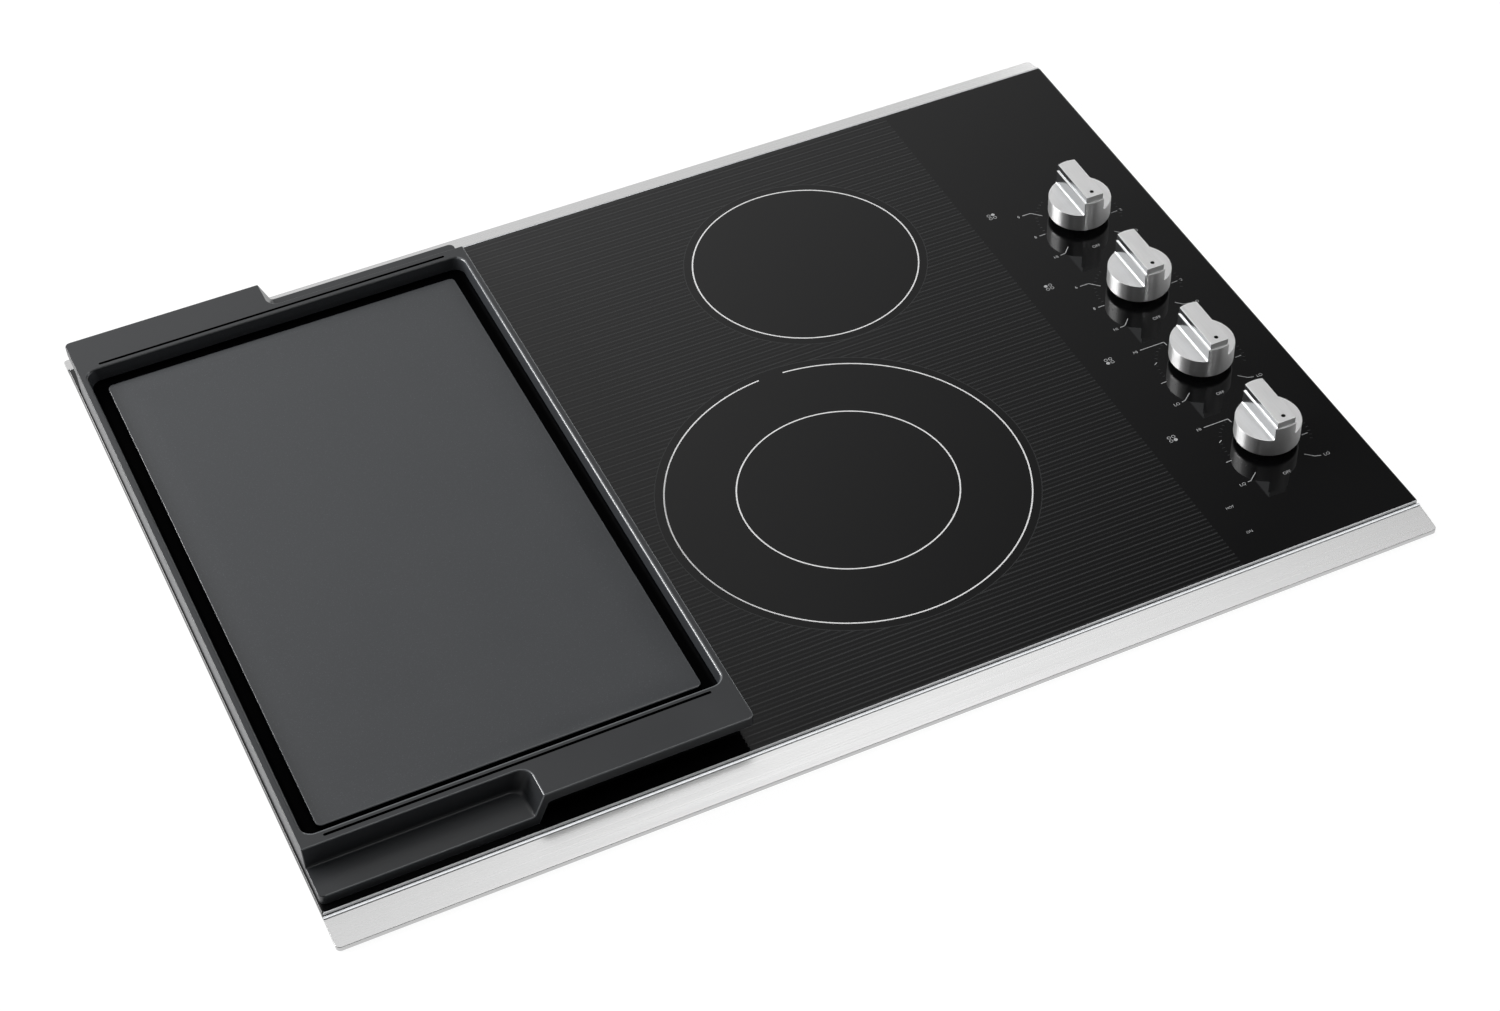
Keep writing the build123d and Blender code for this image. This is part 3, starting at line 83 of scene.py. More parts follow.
INNER_RING = 76.4 * MM
RING_BREAK = radians(4.5)


def zone(element):
    """The centre of a heating zone, and its radius inside its element's pan."""
    low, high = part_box(f"{element}_element_pan")
    return (low + high) / 2, (high.x - low.x) / 2 - PAN_MARGIN


ZONES = {name: zone(name) for name in ("dual", "right_rear", "left_front", "left_rear")}
# Centre, radius and open angle of each printed ring; the dual zone's outer ring is broken at its back
ZONE_RINGS = [(*ZONES["dual"], RING_BREAK), (ZONES["dual"][0], INNER_RING, 0.0)]
ZONE_RINGS += [(*ZONES[name], 0.0) for name in ("right_rear", "left_front", "left_rear")]


def knob_centre(number):
    """The axis of one knob, at the knob's underside."""
    low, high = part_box(f"knob_{number}")
    return Vector(((low.x + high.x) / 2, (low.y + high.y) / 2, low.z))


# Settings

def length(name, text, millimetres, lowest=0.0):
    """A length that a user may change, kept in metres."""
    return FloatProperty(name=name, description=text, default=millimetres * MM, min=lowest * MM, precision=5,
                         subtype="DISTANCE", unit="LENGTH")


def share(name, text, value):
    """A share, from nothing to the whole."""
    return FloatProperty(name=name, description=text, default=value, min=0.0, max=1.0, subtype="FACTOR")


def power(name, text, watts):
    """The power of a lamp."""
    return FloatProperty(name=name, description=text, default=watts, subtype="POWER")


def colour(name, text, hex_text):
    """A colour that a user may change, written as sRGB hex."""
    return FloatVectorProperty(name=name, description=text, default=linear(hex_text), size=4, min=0.0, max=1.0,
                               subtype="COLOR")


def linear(hex_text):
    """Turn an sRGB hex colour into linear light."""
    values = [int(hex_text[i:i + 2], 16) / 255 for i in (1, 3, 5)]
    return tuple(v / 12.92 if v <= 0.04045 else ((v + 0.055) / 1.055) ** 2.4 for v in values) + (1.0,)


class GlassSettings(bpy.types.PropertyGroup):
    """Sizes and colours of the glass plate and its prints."""

    corner_radius: length("Corner radius", "Radius of the plate's corners in plan", 2.5)
    edge_bevel: length("Edge bevel", "Ground bevel along the plate's top edge", 1.2)
    hole_radius: length("Shaft hole", "Radius of the hole under each knob", 6.5)
    hatch_pitch: length("Line pitch", "Distance between the printed lines", 3.67)
    hatch_width: length("Line width", "Width of a printed line", 1.3)
    hatch_start: length("Line start", "Place of one printed line along Y", -253.5, -1000.0)
    hatch_weak: share("Weak line", "Strength of every second printed line", 0.65)
    hatch_margin: length("Zone margin", "Plain band between a zone's ring and the printed lines", 6.5)
    field_inset: length("Field inset", "From the griddle's ends to the printed lines under it", 40.0)
    strip_width: length("Control strip", "Plain strip on the right that carries the dials", 137.6)
    ring_line: length("Ring line", "Width of a zone's printed ring", 1.0)
    mark_line: length("Mark line", "Width of a dial's leader lines", 0.55)
    glass_colour: colour("Glass", "Body of the glass", "#0a0a0b")
    hatch_colour: colour("Printed lines", "Frit of the printed lines", "#222324")
    ring_colour: colour("Rings", "Frit of the zones' rings", "#fcfcfc")
    mark_colour: colour("Marks", "Frit of the numbers, leader lines and signs", "#c2c3c4")


class TrimSettings(bpy.types.PropertyGroup):
    """Sizes and colour of the folded trims."""

    sheet: length("Sheet", "Thickness of the steel sheet", 1.2)
    gap: length("Gap", "Gap between the glass and the trim's hem", 0.6)
    hem_width: length("Hem width", "Flat top of the hem beside the glass", 2.0)
    hem_drop: length("Hem drop", "How far the hem lies below the glass", 1.1)
    hem_tilt: length("Hem tilt", "How far the hem falls over its width", 0.9)
    hem_step: length("Hem step", "Step from the hem down to the face", 0.45)
    hem_radius: length("Hem radius", "Radius of the hem's edges", 0.4)
    fall: length("Fall", "Height lost from the glass to the outer fold", 5.2)
    fold_radius: length("Fold radius", "Outer radius of the folds", 0.4)
    corner_radius: length("Corner radius", "Radius of the trim's outer corners in plan", 3.0)
    steel_colour: colour("Steel", "Brushed stainless steel", "#d0d0d0")


class GriddleSettings(bpy.types.PropertyGroup):
    """Sizes and colour of the griddle."""

    ledge_length: length("Ledge length", "How far the stepped ends stand out from the rim", 25.9)
    ledge_thickness: length("Ledge thickness", "Thickness of the ledges", 8.0)
    riser_run: length("Riser run", "Half of the riser's slant", 3.75)
    riser_offset: length("Riser offset", "Half of the shift between the riser's faces", 1.25)
    rim_side: length("Side rim", "Width of the rim along the sides", 4.8)
    rim_end: length("End rim", "Width of the rim at the ends", 9.5)
    rim_flare: length("Rim flare", "Draft of the tray's walls", 2.0)
    tray_corner: length("Tray corner", "Radius of the tray's and the recess's corners in plan", 8.0)
    moat_side: length("Side moat", "Width of the grease moat along the sides", 11.0)
    moat_end: length("End moat", "Width of the grease moat at the ends", 10.5)
    moat_floor: length("Moat floor", "Height of the moat's floor", 12.0)
    moat_radius: length("Moat radius", "Fillet along the foot of the tray's walls", 3.5)
    plate_height: length("Plate height", "Height of the cooking plate", 17.5)
    plate_corner: length("Plate corner", "Radius of the plate's corners in plan", 4.0)
    plate_crown: length("Plate crown", "How far the plate falls towards its edges", 1.2)
    crown_run: length("Crown run", "Width of the border over which the plate falls", 24.0)
    groove_width: length("Groove width", "Width of the groove in each end rim", 2.1)
    groove_inset: length("Groove inset", "From the tray to the groove", 3.3)
    groove_end: length("Groove end", "From the side to the groove's end", 16.0)
    groove_depth: length("Groove depth", "Depth of the groove", 2.2)
    corner_radius: length("Corner radius", "Radius of the casting's corners in plan", 4.0)
    inner_radius: length("Inner corner", "Radius in plan where a riser meets the rim's wall", 8.0)
    foot_radius: length("Foot radius", "Fillet along the foot of the wall and the riser", 1.8)
    edge_radius: length("Edge radius", "Rounding of the casting's edges", 0.7)
    mouth_radius: length("Mouth radius", "Rounding of the tray's upper edge", 1.3)
    rim_shade: share("Rim shade", "Tone of the rim and ledges against the plate", 0.6)
    coat_colour: colour("Coat", "Satin charcoal non-stick coat", "#36383b")


class KnobSettings(bpy.types.PropertyGroup):
    """Sizes and colours of the knobs."""

    shoulder: length("Shoulder", "Height of the scooped shoulders", 15.2)
    grip_width: length("Grip width", "Width of the grip bar", 16.3)
    scoop_radius: length("Scoop radius", "Cove between the grip bar and the shoulders", 1.3)
    cap_height: length("Cap height", "Height of the cap on the grip bar", 5.2)
    cap_inset: length("Cap inset", "Ledge between the bar and its cap", 1.1)
    cap_front: length("Cap front", "How far the cap's flat front lies inside the knob's round", 1.4)
    wall: length("Wall", "Wall of the hollow body", 3.2)
    hub_radius: length("Hub radius", "Radius of the hub on the shaft", 6.5)
    hub_setback: length("Hub setback", "How far the hub lies inside the skirt", 1.5)
    shaft_radius: length("Shaft hole", "Radius of the hub's hole", 3.05)
    shaft_depth: length("Shaft depth", "Depth of the hub's hole", 17.0)
    dot_radius: length("Dot radius", "Radius of the pointer dot", 1.6)
    dot_offset: length("Dot offset", "From the knob's axis to the pointer dot", 16.6)
    dot_dimple: length("Dot dimple", "Depth of the dimple that the dot fills", 0.4)
    dot_sink: length("Dot sink", "How far the dot lies below the cap", 0.1)
    edge_radius: length("Edge radius", "Rounding of the knob's edges", 0.5)
    foot_radius: length("Foot radius", "Rounding of the skirt's foot", 1.8)
    steel_colour: colour("Steel", "Satin stainless steel", "#f2f2f2")


class StageSettings(bpy.types.PropertyGroup):
    """Floor, light and camera."""

    floor_colour: colour("Floor", "Pale worktop under the cooktop's rim", "#f4f4f4")
    floor_size: length("Floor size", "Half of the floor's width", 6000.0)
    lens: FloatProperty(name="Lens", description="Focal length in millimetres", default=71.085)
    softbox_power: power("Softbox", "Power of the lamp overhead", 4.6)
    rim_power: power("Rim light", "Power of the low lamp at the back right", 2.4)
    strip_power: power("Strip light", "Power of the low lamp at the back left", 24.0)


# Modelling by operators

def clear_selection():
    """Leave nothing selected, because an operator acts on all that is."""
    bpy.ops.object.select_all(action="DESELECT")


def focus(piece):
    """Make one piece the only selected and the active one."""
    clear_selection()
    piece.select_set(True)
    bpy.context.view_layer.objects.active = piece


def settle(piece, name):
    """Name a new primitive and move its place into its mesh."""
    piece.name = name
    piece.data.name = name
    focus(piece)
    bpy.ops.object.transform_apply(location=True, rotation=True, scale=True)
    return piece


def add_block(name, low, high):
    """A block between two corners."""
    clear_selection()
    low, high = Vector(low), Vector(high)
    bpy.ops.mesh.primitive_cube_add(size=1.0, location=(low + high) / 2)
    bpy.context.object.scale = high - low
    return settle(bpy.context.object, name)


def add_sheet(name, low, high):
    """A flat sheet between two corners at one height."""
    clear_selection()
    low, high = Vector(low), Vector(high)
    bpy.ops.mesh.primitive_plane_add(size=1.0, location=(low + high) / 2)
    bpy.context.object.scale = (high.x - low.x, high.y - low.y, 1.0)
    return settle(bpy.context.object, name)


def add_post(name, centre, radius, low_z, high_z, sides=96):
    """An upright cylinder."""
    clear_selection()
    bpy.ops.mesh.primitive_cylinder_add(vertices=sides, radius=radius, depth=high_z - low_z,
                                        location=(centre[0], centre[1], (low_z + high_z) / 2))
    return settle(bpy.context.object, name)


def enter_edit():
    """Go into edit mode."""
    bpy.ops.object.mode_set(mode="EDIT")


def leave_edit():
    """Go back to object mode."""
    bpy.ops.object.mode_set(mode="OBJECT")


def edit_all(piece):
    """Select the whole of a piece, and stay in edit mode."""
    focus(piece)
    enter_edit()
    bpy.ops.mesh.select_all(action="SELECT")


def unpick(piece, kind):
    """Deselect all edges or faces of a piece, so that code can select some of them."""
    focus(piece)
    enter_edit()
    bpy.ops.mesh.select_mode(type=kind)
    bpy.ops.mesh.select_all(action="DESELECT")
    leave_edit()


def pick_edges(piece, test):
    """Select the edges whose two ends pass a test, and stay in edit mode."""
    unpick(piece, "EDGE")
    points = piece.data.vertices
    for edge in piece.data.edges:
        edge.select = bool(test(points[edge.vertices[0]].co, points[edge.vertices[1]].co))
    enter_edit()


def pick_faces(piece, test):
    """Select the faces whose centre and normal pass a test, and stay in edit mode."""
    unpick(piece, "FACE")
    for face in piece.data.polygons:
        face.select = bool(test(face.center, face.normal))
    enter_edit()


def upright(a, b):
    """True for a vertical edge."""
    return abs(a.x - b.x) < NEAR and abs(a.y - b.y) < NEAR


def at(**levels):
    """A test for edges that lie at given levels of x, y or z."""
    return lambda a, b: all(abs(getattr(p, axis) - level) < NEAR for p in (a, b) for axis, level in levels.items())


def extrude(x, y, z):
    """Extrude what is selected along a way."""
    bpy.ops.mesh.extrude_region_move(TRANSFORM_OT_translate={"value": (x, y, z)})


def bevel_where(piece, test, width, segments, slot=-1):
    """Round the edges that pass a test, and give the new faces one of the piece's materials."""
    pick_edges(piece, test)
    bpy.ops.mesh.bevel(offset=width, segments=segments, affect="EDGES", profile=0.5, clamp_overlap=True,
                       material=slot)
    leave_edit()


def round_ridges(piece, width, slot):
    """Round a piece's sharp outward edges, and give the new faces one of its materials."""
    unpick(piece, "EDGE")
    sides = {}
    for face in piece.data.polygons:
        for key in face.edge_keys:
            sides.setdefault(key, []).append(face)
    for edge in piece.data.edges:
        pair = sides.get(edge.key, [])
        if len(pair) == 2:
            one, two = pair
            turn = one.normal.angle(two.normal, 0.0)
            edge.select = turn > RIDGE_ANGLE and one.normal.dot(two.center - one.center) < 0.0
    enter_edit()
    bpy.ops.mesh.bevel(offset=width, segments=3, affect="EDGES", clamp_overlap=False, material=slot)
    leave_edit()


def apply_step(piece, kind, **settings):
    """Put a modifier on a piece and apply it."""
    focus(piece)
    step = piece.modifiers.new("step", kind)
    for name, value in settings.items():
        setattr(step, name, value)
    bpy.ops.object.modifier_apply(modifier=step.name)


def carve(piece, tool, operation="DIFFERENCE", slot=0):
    """Cut a tool out of a piece, or join it on, and remove the tool.

    The faces of a tool without materials take one of the piece's.
    """
    if not tool.data.materials:
        paint(tool, *piece.data.materials)
        for face in tool.data.polygons:
            face.material_index = slot
    apply_step(piece, "BOOLEAN", operation=operation, solver="EXACT", object=tool)
    mesh = tool.data
    bpy.data.objects.remove(tool)
    bpy.data.meshes.remove(mesh)


def finish(piece):
    """Merge doubles, point the faces outwards and shade the rounds smooth and the flats flat."""
    edit_all(piece)
    bpy.ops.mesh.remove_doubles(threshold=DOUBLES)
    bpy.ops.mesh.normals_make_consistent(inside=False)
    leave_edit()
    bpy.ops.object.shade_smooth_by_angle(angle=SMOOTH_ANGLE)
    apply_step(piece, "WEIGHTED_NORMAL", keep_sharp=True)
    return piece


def join(pieces, name):
    """Make one piece of several."""
    focus(pieces[0])
    for piece in pieces:
        piece.select_set(True)
    bpy.ops.object.join()
    whole = bpy.context.object
    whole.name = name
    whole.data.name = name
    return whole


def paint(piece, *materials):
    """Give a piece its materials."""
    piece.data.materials.clear()
    for material in materials:
        piece.data.materials.append(material)


def copy_along(first, base):
    """The first control's piece and its copies at the other controls, by number, each with its own mesh."""
    made = [first]
    for number in KNOBS[1:]:
        focus(first)
        bpy.ops.object.duplicate(linked=False)
        copy = bpy.context.object
        copy.location = knob_centre(number) - knob_centre(1)
        made.append(settle(copy, f"{base}_{number}"))
    return zip(KNOBS, made)


def place(piece, body, slot, *nodes):
    """Let a piece ride on its body and stand for its CAD nodes; the slot it is given is not used."""
    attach(piece, body)
    if nodes:
        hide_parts(*nodes)


# Materials

def feed(node, sockets):
    """Set or link a node's sockets; a node given as the value lends its first live output."""
    for socket, value in dict(sockets).items():
        if isinstance(value, bpy.types.Node):
            value = next(output for output in value.outputs if output.enabled)
        if isinstance(value, bpy.types.NodeSocket):
            node.id_data.links.new(value, node.inputs[socket])
        else:
            node.inputs[socket].default_value = value
    return node


def add_node(tree, kind, *values, sockets=(), **settings):
    """Add a node with its settings, its first sockets in order and others by name or number."""
    made = tree.nodes.new("ShaderNode" + kind)
    for name, value in settings.items():
        setattr(made, name, value)
    return feed(made, {**dict(enumerate(values)), **dict(sockets)})


def new_material(name):
    """A material with its plain shader, the object's own coordinates, and what adds a node to it."""
    material = bpy.data.materials.new(name)
    material.use_nodes = True
    tree = material.node_tree
    add = partial(add_node, tree)
    return material, tree.nodes["Principled BSDF"], add("TexCoord").outputs["Object"], add


def shaded(tint, by):
    """A colour brought down to a share of itself, or up, as far as white."""
    return tuple(min(1.0, by * v) for v in tint[:3]) + (1.0,)


def black_glass(s):
    """Glass ceramic, rolled and polished: near black, with a fired print of fine matt lines round plain zones."""
    material, shader, spot, add = new_material("black_glass_ceramic")
    x, y, _ = add("SeparateXYZ", spot).outputs
    start = add("Math", y, s.hatch_start, operation="SUBTRACT")
    turn = add("Math", start, s.hatch_pitch, operation="DIVIDE")
    half = s.hatch_width / s.hatch_pitch / 2
    # Two families of lines take turns: a strong one and a weak one
    lines = []
    for shift in (0.5, 0.0):
        beat = add("Math", turn, 0.5, shift + 8.0, operation="MULTIPLY_ADD")
        beat = add("Math", beat, operation="FRACT")
        beat = add("Math", beat, 0.5, operation="SUBTRACT")
        beat = add("Math", beat, operation="ABSOLUTE")
        lines.append(add("MapRange", beat, half * 0.35, half * 0.65, 1.0, 0.0))
    line = add("Math", lines[1], s.hatch_weak, lines[0], operation="MULTIPLY_ADD")

    # The lines fill the glass beside the griddle, and a field under it that leaves out the bridge. Round the
    # griddle's ends and sides the glass is left plain, as painted shade and painted dark reflection of the griddle
    across = add("Math", add("Math", x, GRIDDLE_MID.x, operation="SUBTRACT"), operation="ABSOLUTE")
    along = add("Math", add("Math", y, GRIDDLE_MID.y, operation="SUBTRACT"), operation="ABSOLUTE")
    field = (GRIDDLE_HIGH - GRIDDLE_LOW) / 2
    patches = ((field.x - s.field_inset / 2, field.y - s.field_inset),
               (BRIDGE_HALF + s.hatch_margin, BRIDGE_HIGH.y - GRIDDLE_MID.y + s.field_inset))
    fields = []
    for reach_x, reach_y in patches:
        wide = add("Math", across, reach_x, operation="LESS_THAN")
        deep = add("Math", along, reach_y, operation="LESS_THAN")
        fields.append(add("Math", wide, deep, operation="MULTIPLY"))
    under = add("Math", *fields, operation="SUBTRACT")
    beside = add("Math", x, GRIDDLE_HIGH.x - s.hatch_margin, operation="GREATER_THAN")
    band = add("Math", beside, under, operation="MAXIMUM")
    off_strip = add("Math", x, GLASS_HIGH.x - s.strip_width, operation="LESS_THAN")
    band = add("Math", off_strip, band, operation="MULTIPLY")
    mask = add("Math", line, band, operation="MULTIPLY")

    # Each zone stays plain, and those beside the griddle have a hairline round them
    hairline = 0.0
    flat = add("CombineXYZ", x, y, 0.0)
    for middle, radius in ZONES.values():
        reach = add("VectorMath", flat, (middle.x, middle.y, 0.0), operation="DISTANCE")
        outside = add("Math", reach, radius + s.hatch_margin, operation="GREATER_THAN")
        mask = add("Math", mask, outside, operation="MULTIPLY")
        if middle.x > GRIDDLE_HIGH.x:
            ring = add("Math", reach, radius + s.hatch_margin, s.hatch_width / 4, operation="COMPARE")
            hairline = add("Math", hairline, ring, operation="MAXIMUM")
    mask = add("Math", mask, hairline, operation="MAXIMUM")

    smear = add("TexNoise", spot, sockets={"Scale": 14.0, "Detail": 3.0})
    polish = add("MapRange", smear, 0.3, 0.7, 0.03, 0.06)
    tint = add("Mix", mask, sockets={6: s.glass_colour, 7: s.hatch_colour}, data_type="RGBA")
    rough = add("Mix", mask, sockets={2: polish, 3: 0.28}, data_type="FLOAT")
    feed(shader, {"Base Color": tint, "Roughness": rough, "IOR": 1.5})
    return material


def fired_print(name, ink):
    """Ceramic frit fired on the glass: pale, matt and slightly uneven in its cover."""
    material, shader, spot, add = new_material(name)
    cover = add("TexNoise", spot, sockets={"Scale": 900.0, "Detail": 2.0})
    tint = add("Mix", cover, sockets={6: shaded(ink, 0.85), 7: ink}, data_type="RGBA")
    feed(shader, {"Base Color": tint, "Roughness": 0.45})
    return material


def brushed_steel(name, bright, stretch, rough_low, rough_high):
    """Stainless steel sheet, belt brushed: fine streaks along one axis that spread its highlights.

    Real brush marks are about 0.05 mm wide. They are drawn about 0.4 mm wide, so that they show.
    """
    material, shader, spot, add = new_material(name)
    stretched = add("Mapping", spot, sockets={"Scale": stretch})
    streak = add("TexNoise", stretched, sockets={"Scale": 1.0, "Detail": 4.0, "Roughness": 0.6})
    tint = add("Mix", streak, sockets={6: shaded(bright, 0.86), 7: bright}, data_type="RGBA")
    rough = add("MapRange", streak, 0.3, 0.7, rough_low, rough_high)
    bump = add("Bump", sockets={"Height": streak, "Strength": 0.25, "Distance": 0.02 * MM})
    feed(shader, {"Base Color": tint, "Roughness": rough, "Normal": bump, "Metallic": 1.0})
    return material


def turned_knob(s):
    """Stainless steel turned on a lathe: rings too fine to see spread the light up and down the skirt."""
    material = brushed_steel("turned_stainless_skirt", s.steel_colour, (30.0, 30.0, 2500.0), 0.36, 0.39)
    tree = material.node_tree
    around = add_node(tree, "Tangent", direction_type="RADIAL", axis="Z")
    feed(tree.nodes["Principled BSDF"], {"Tangent": around, "Anisotropic": 0.9, "Anisotropic Rotation": 0.25})
    return material


def griddle_coat(s):
    """A sprayed non-stick coat on cast aluminium: charcoal and satin, with a fine pale speckle, darker on the rim."""
    material, shader, spot, add = new_material("nonstick_coat")
    speck = add("TexNoise", spot, sockets={"Scale": 1500.0, "Detail": 1.0})
    cloud = add("TexNoise", spot, sockets={"Scale": 18.0, "Detail": 3.0})
    fleck = add("MapRange", speck, 0.62, 0.74, 0.0, 1.0)
    tint = add("Mix", fleck, sockets={6: s.coat_colour, 7: shaded(s.coat_colour, 1.9)}, data_type="RGBA")
    x, y, z = add("SeparateXYZ", spot).outputs
    tray = (GRIDDLE_HIGH - GRIDDLE_LOW) / 2 - Vector((s.rim_side, s.ledge_length + s.rim_end, 0.0))
    inside = add("Math", z, GRIDDLE_HIGH.z - s.mouth_radius, operation="LESS_THAN")
    for axis, middle, reach in ((x, GRIDDLE_MID.x, tray.x), (y, GRIDDLE_MID.y, tray.y)):
        away = add("Math", add("Math", axis, middle, operation="SUBTRACT"), operation="ABSOLUTE")
        within = add("Math", away, reach, operation="LESS_THAN")
        inside = add("Math", inside, within, operation="MULTIPLY")
    tint = add("Mix", inside, sockets={6: shaded(s.coat_colour, s.rim_shade), 7: tint}, data_type="RGBA")
    rough = add("MapRange", cloud, 0.3, 0.7, 0.28, 0.33)
    bump = add("Bump", sockets={"Height": speck, "Strength": 0.12, "Distance": 0.05 * MM})
    feed(shader, {"Base Color": tint, "Roughness": rough, "Normal": bump, "Specular IOR Level": 0.55})
    return material


def mottled(name, hex_text, metallic, rough, grain, spread, depth, gloss=0.5):
    """A plain factory finish with a fine grain: its colour and roughness vary a little over the grain's size."""
    material, shader, spot, add = new_material(name)
    grains = add("TexNoise", spot, sockets={"Scale": 1.0 / (grain * MM), "Detail": 3.0})
    bright = linear(hex_text)
    tint = add("Mix", grains, sockets={6: shaded(bright, 1.0 - spread), 7: bright}, data_type="RGBA")
    satin = add("MapRange", grains, 0.3, 0.7, rough * 0.85, rough * 1.1)
    bump = add("Bump", sockets={"Height": grains, "Strength": 0.3, "Distance": depth * MM})
    feed(shader, {"Base Color": tint, "Roughness": satin, "Normal": bump, "Metallic": metallic,
                  "Specular IOR Level": gloss})
    return material


# Name, colour, metallic, roughness, grain in millimetres, colour spread, bump in millimetres and, where it isn't
# the usual one, specular level of each plain finish
FINISHES = {
    "foam_gasket": ("closed_cell_foam", "#2b2b2c", 0.0, 0.9, 1.2, 0.35, 0.2),  # dark, matt and porous
    "silicone_bond": ("silicone_adhesive", "#262627", 0.0, 0.55, 6.0, 0.2, 0.1),  # black with a soft gloss
    "box_steel": ("galvanised_sheet", "#b9bcbf", 1.0, 0.42, 14.0, 0.22, 0.02),  # pale grey with a broad spangle
    "bracket_steel": ("galvanised_strip", "#b3b6b9", 1.0, 0.4, 10.0, 0.2, 0.02),  # pale grey with a fine spangle
    "screw_steel": ("zinc_plate", "#c4c4c0", 1.0, 0.3, 2.0, 0.12, 0.01),  # bright and faintly yellow
    "spring_steel": ("blued_spring_strip", "#6d7078", 1.0, 0.32, 5.0, 0.25, 0.01),  # dark bluish satin
    "pan_steel": ("aluminised_steel", "#bfc1c3", 1.0, 0.38, 8.0, 0.18, 0.02),  # silvery and soft
    "fibre_insulation": ("pressed_ceramic_fibre", "#e8e3d6", 0.0, 0.95, 2.5, 0.2, 0.3),  # off-white and chalky
    "heater_alloy": ("oxidised_heater_strip", "#57504b", 0.9, 0.6, 1.5, 0.35, 0.02),  # brown oxide, hardly shiny
    "limiter_ceramic": ("steatite", "#e6dfd0", 0.0, 0.6, 3.0, 0.1, 0.05),  # cream, like unglazed china
    "switch_plastic": ("phenolic_moulding", "#232324", 0.0, 0.5, 1.0, 0.25, 0.03),  # near black and half matt
    "cam_plastic": ("nylon_moulding", "#d9d4c6", 0.0, 0.45, 2.0, 0.1, 0.02),  # ivory and waxy
    "terminal_brass": ("plain_brass", "#c9a24f", 1.0, 0.34, 2.0, 0.2, 0.01),  # warm yellow metal
    "lamp_lens": ("red_acrylic_lens", "#b4201a", 0.0, 0.15, 4.0, 0.2, 0.02),  # deep red and glossy
    "seal_rubber": ("moulded_silicone", "#1a1a1b", 0.0, 0.6, 0.8, 0.25, 0.03),  # black and dull
    "connector_zinc": ("die_cast_zinc", "#b0b2b4", 1.0, 0.45, 1.5, 0.2, 0.03),  # grey and slightly grainy
    "lead_insulation": ("glass_fibre_sleeve", "#a79f90", 0.0, 0.85, 0.7, 0.4, 0.1),  # beige weave without gloss
    "shaft_steel": ("drawn_steel", "#a9abad", 1.0, 0.33, 1.0, 0.15, 0.01),  # smooth grey bar
    "glass_edge_painted_highlight": ("ground_glass_edge", "#eef0f2", 0.0, 0.25, 0.4, 0.12, 0.01),  # a white line on the glass's dark ground edge: painted highlight
    "fine_print": ("thin_grey_frit", "#4a4b4d", 0.0, 0.5, 0.6, 0.3, 0.01),  # a film that hardly shows
    "highlight_coat_for_edges": ("thin_coat_on_edges", "#56595c", 0.0, 0.24, 3.0, 0.15, 0.002, 1.0),  # a lighter coat on rounded edges: painted highlight, with a real glossier finish
    "hollow_painted_shade": ("matt_coat_in_moat", "#030304", 0.0, 0.6, 0.8, 0.2, 0.01, 0.01),  # near black without gloss in the moat and grooves: painted shade
    "polished": ("polished_stainless", "#b6b8ba", 1.0, 0.18, 2.0, 0.1, 0.002),  # near a mirror
    "dot": ("black_enamel", "#050506", 0.0, 0.4, 0.5, 0.2, 0.01, 0.1),  # a black spot without gloss
}
MATERIALS = {}


def finish_table(scene):
    """Every material, by the record's slot."""
    glass, trim, knob = scene.cooktop_glass, scene.cooktop_trim, scene.cooktop_knob
    made = {slot: mottled(*row) for slot, row in FINISHES.items()}
    made["black_glass"] = black_glass(glass)
    made["ring_print"] = fired_print("fired_white_frit", glass.ring_colour)
    made["print"] = fired_print("fired_grey_frit", glass.mark_colour)
    made["trim_steel"] = brushed_steel("brushed_stainless_trim", trim.steel_colour, (4.0, 2500.0, 2500.0), 0.24, 0.34)
    made["knob_steel"] = brushed_steel("satin_stainless_knob", knob.steel_colour, (900.0, 40.0, 2500.0), 0.40, 0.48)
    made["knob_turned"] = turned_knob(knob)
    made["griddle_coat"] = griddle_coat(scene.cooktop_griddle)
    return made


# Pieces

class COOKTOP_OT_finishes(bpy.types.Operator):
    """Make every material and put it on the CAD nodes."""

    bl_idname = "cooktop.finishes"
    bl_label = "Finishes"

    def execute(self, context):
        MATERIALS.update(finish_table(context.scene))
        for row in frame["record"]["subparts"]:
            for holder in frame["nodes"][row["node"]].material_slots:
                holder.material = MATERIALS[row["material_slot"]]
        return {"FINISHED"}


class COOKTOP_OT_glass(bpy.types.Operator):
    """Model the glass plate."""

    bl_idname = "cooktop.glass"
    bl_label = "Glass plate"

    def execute(self, context):
        s = context.scene.cooktop_glass
        plate = add_block("glass_plate", GLASS_LOW, GLASS_HIGH)
        paint(plate, MATERIALS["black_glass"], MATERIALS["glass_edge_painted_highlight"])
        bevel_where(plate, upright, s.corner_radius, 8)
        bevel_where(plate, at(z=TOP), s.edge_bevel, 3, 1)
        # The bevels beside the trims take the white edge, a painted highlight, and those at the two open ends stay
        # dark glass
        for face in plate.data.polygons:
            if abs(face.normal.x) > abs(face.normal.y):
                face.material_index = 0
        for number in KNOBS:
            carve(plate, add_post("hole", knob_centre(number), s.hole_radius, GLASS_LOW.z - MM, TOP + MM, 48))
        finish(plate)
        place(plate, "cooktop", "black_glass", "glass_top")
        return {"FINISHED"}


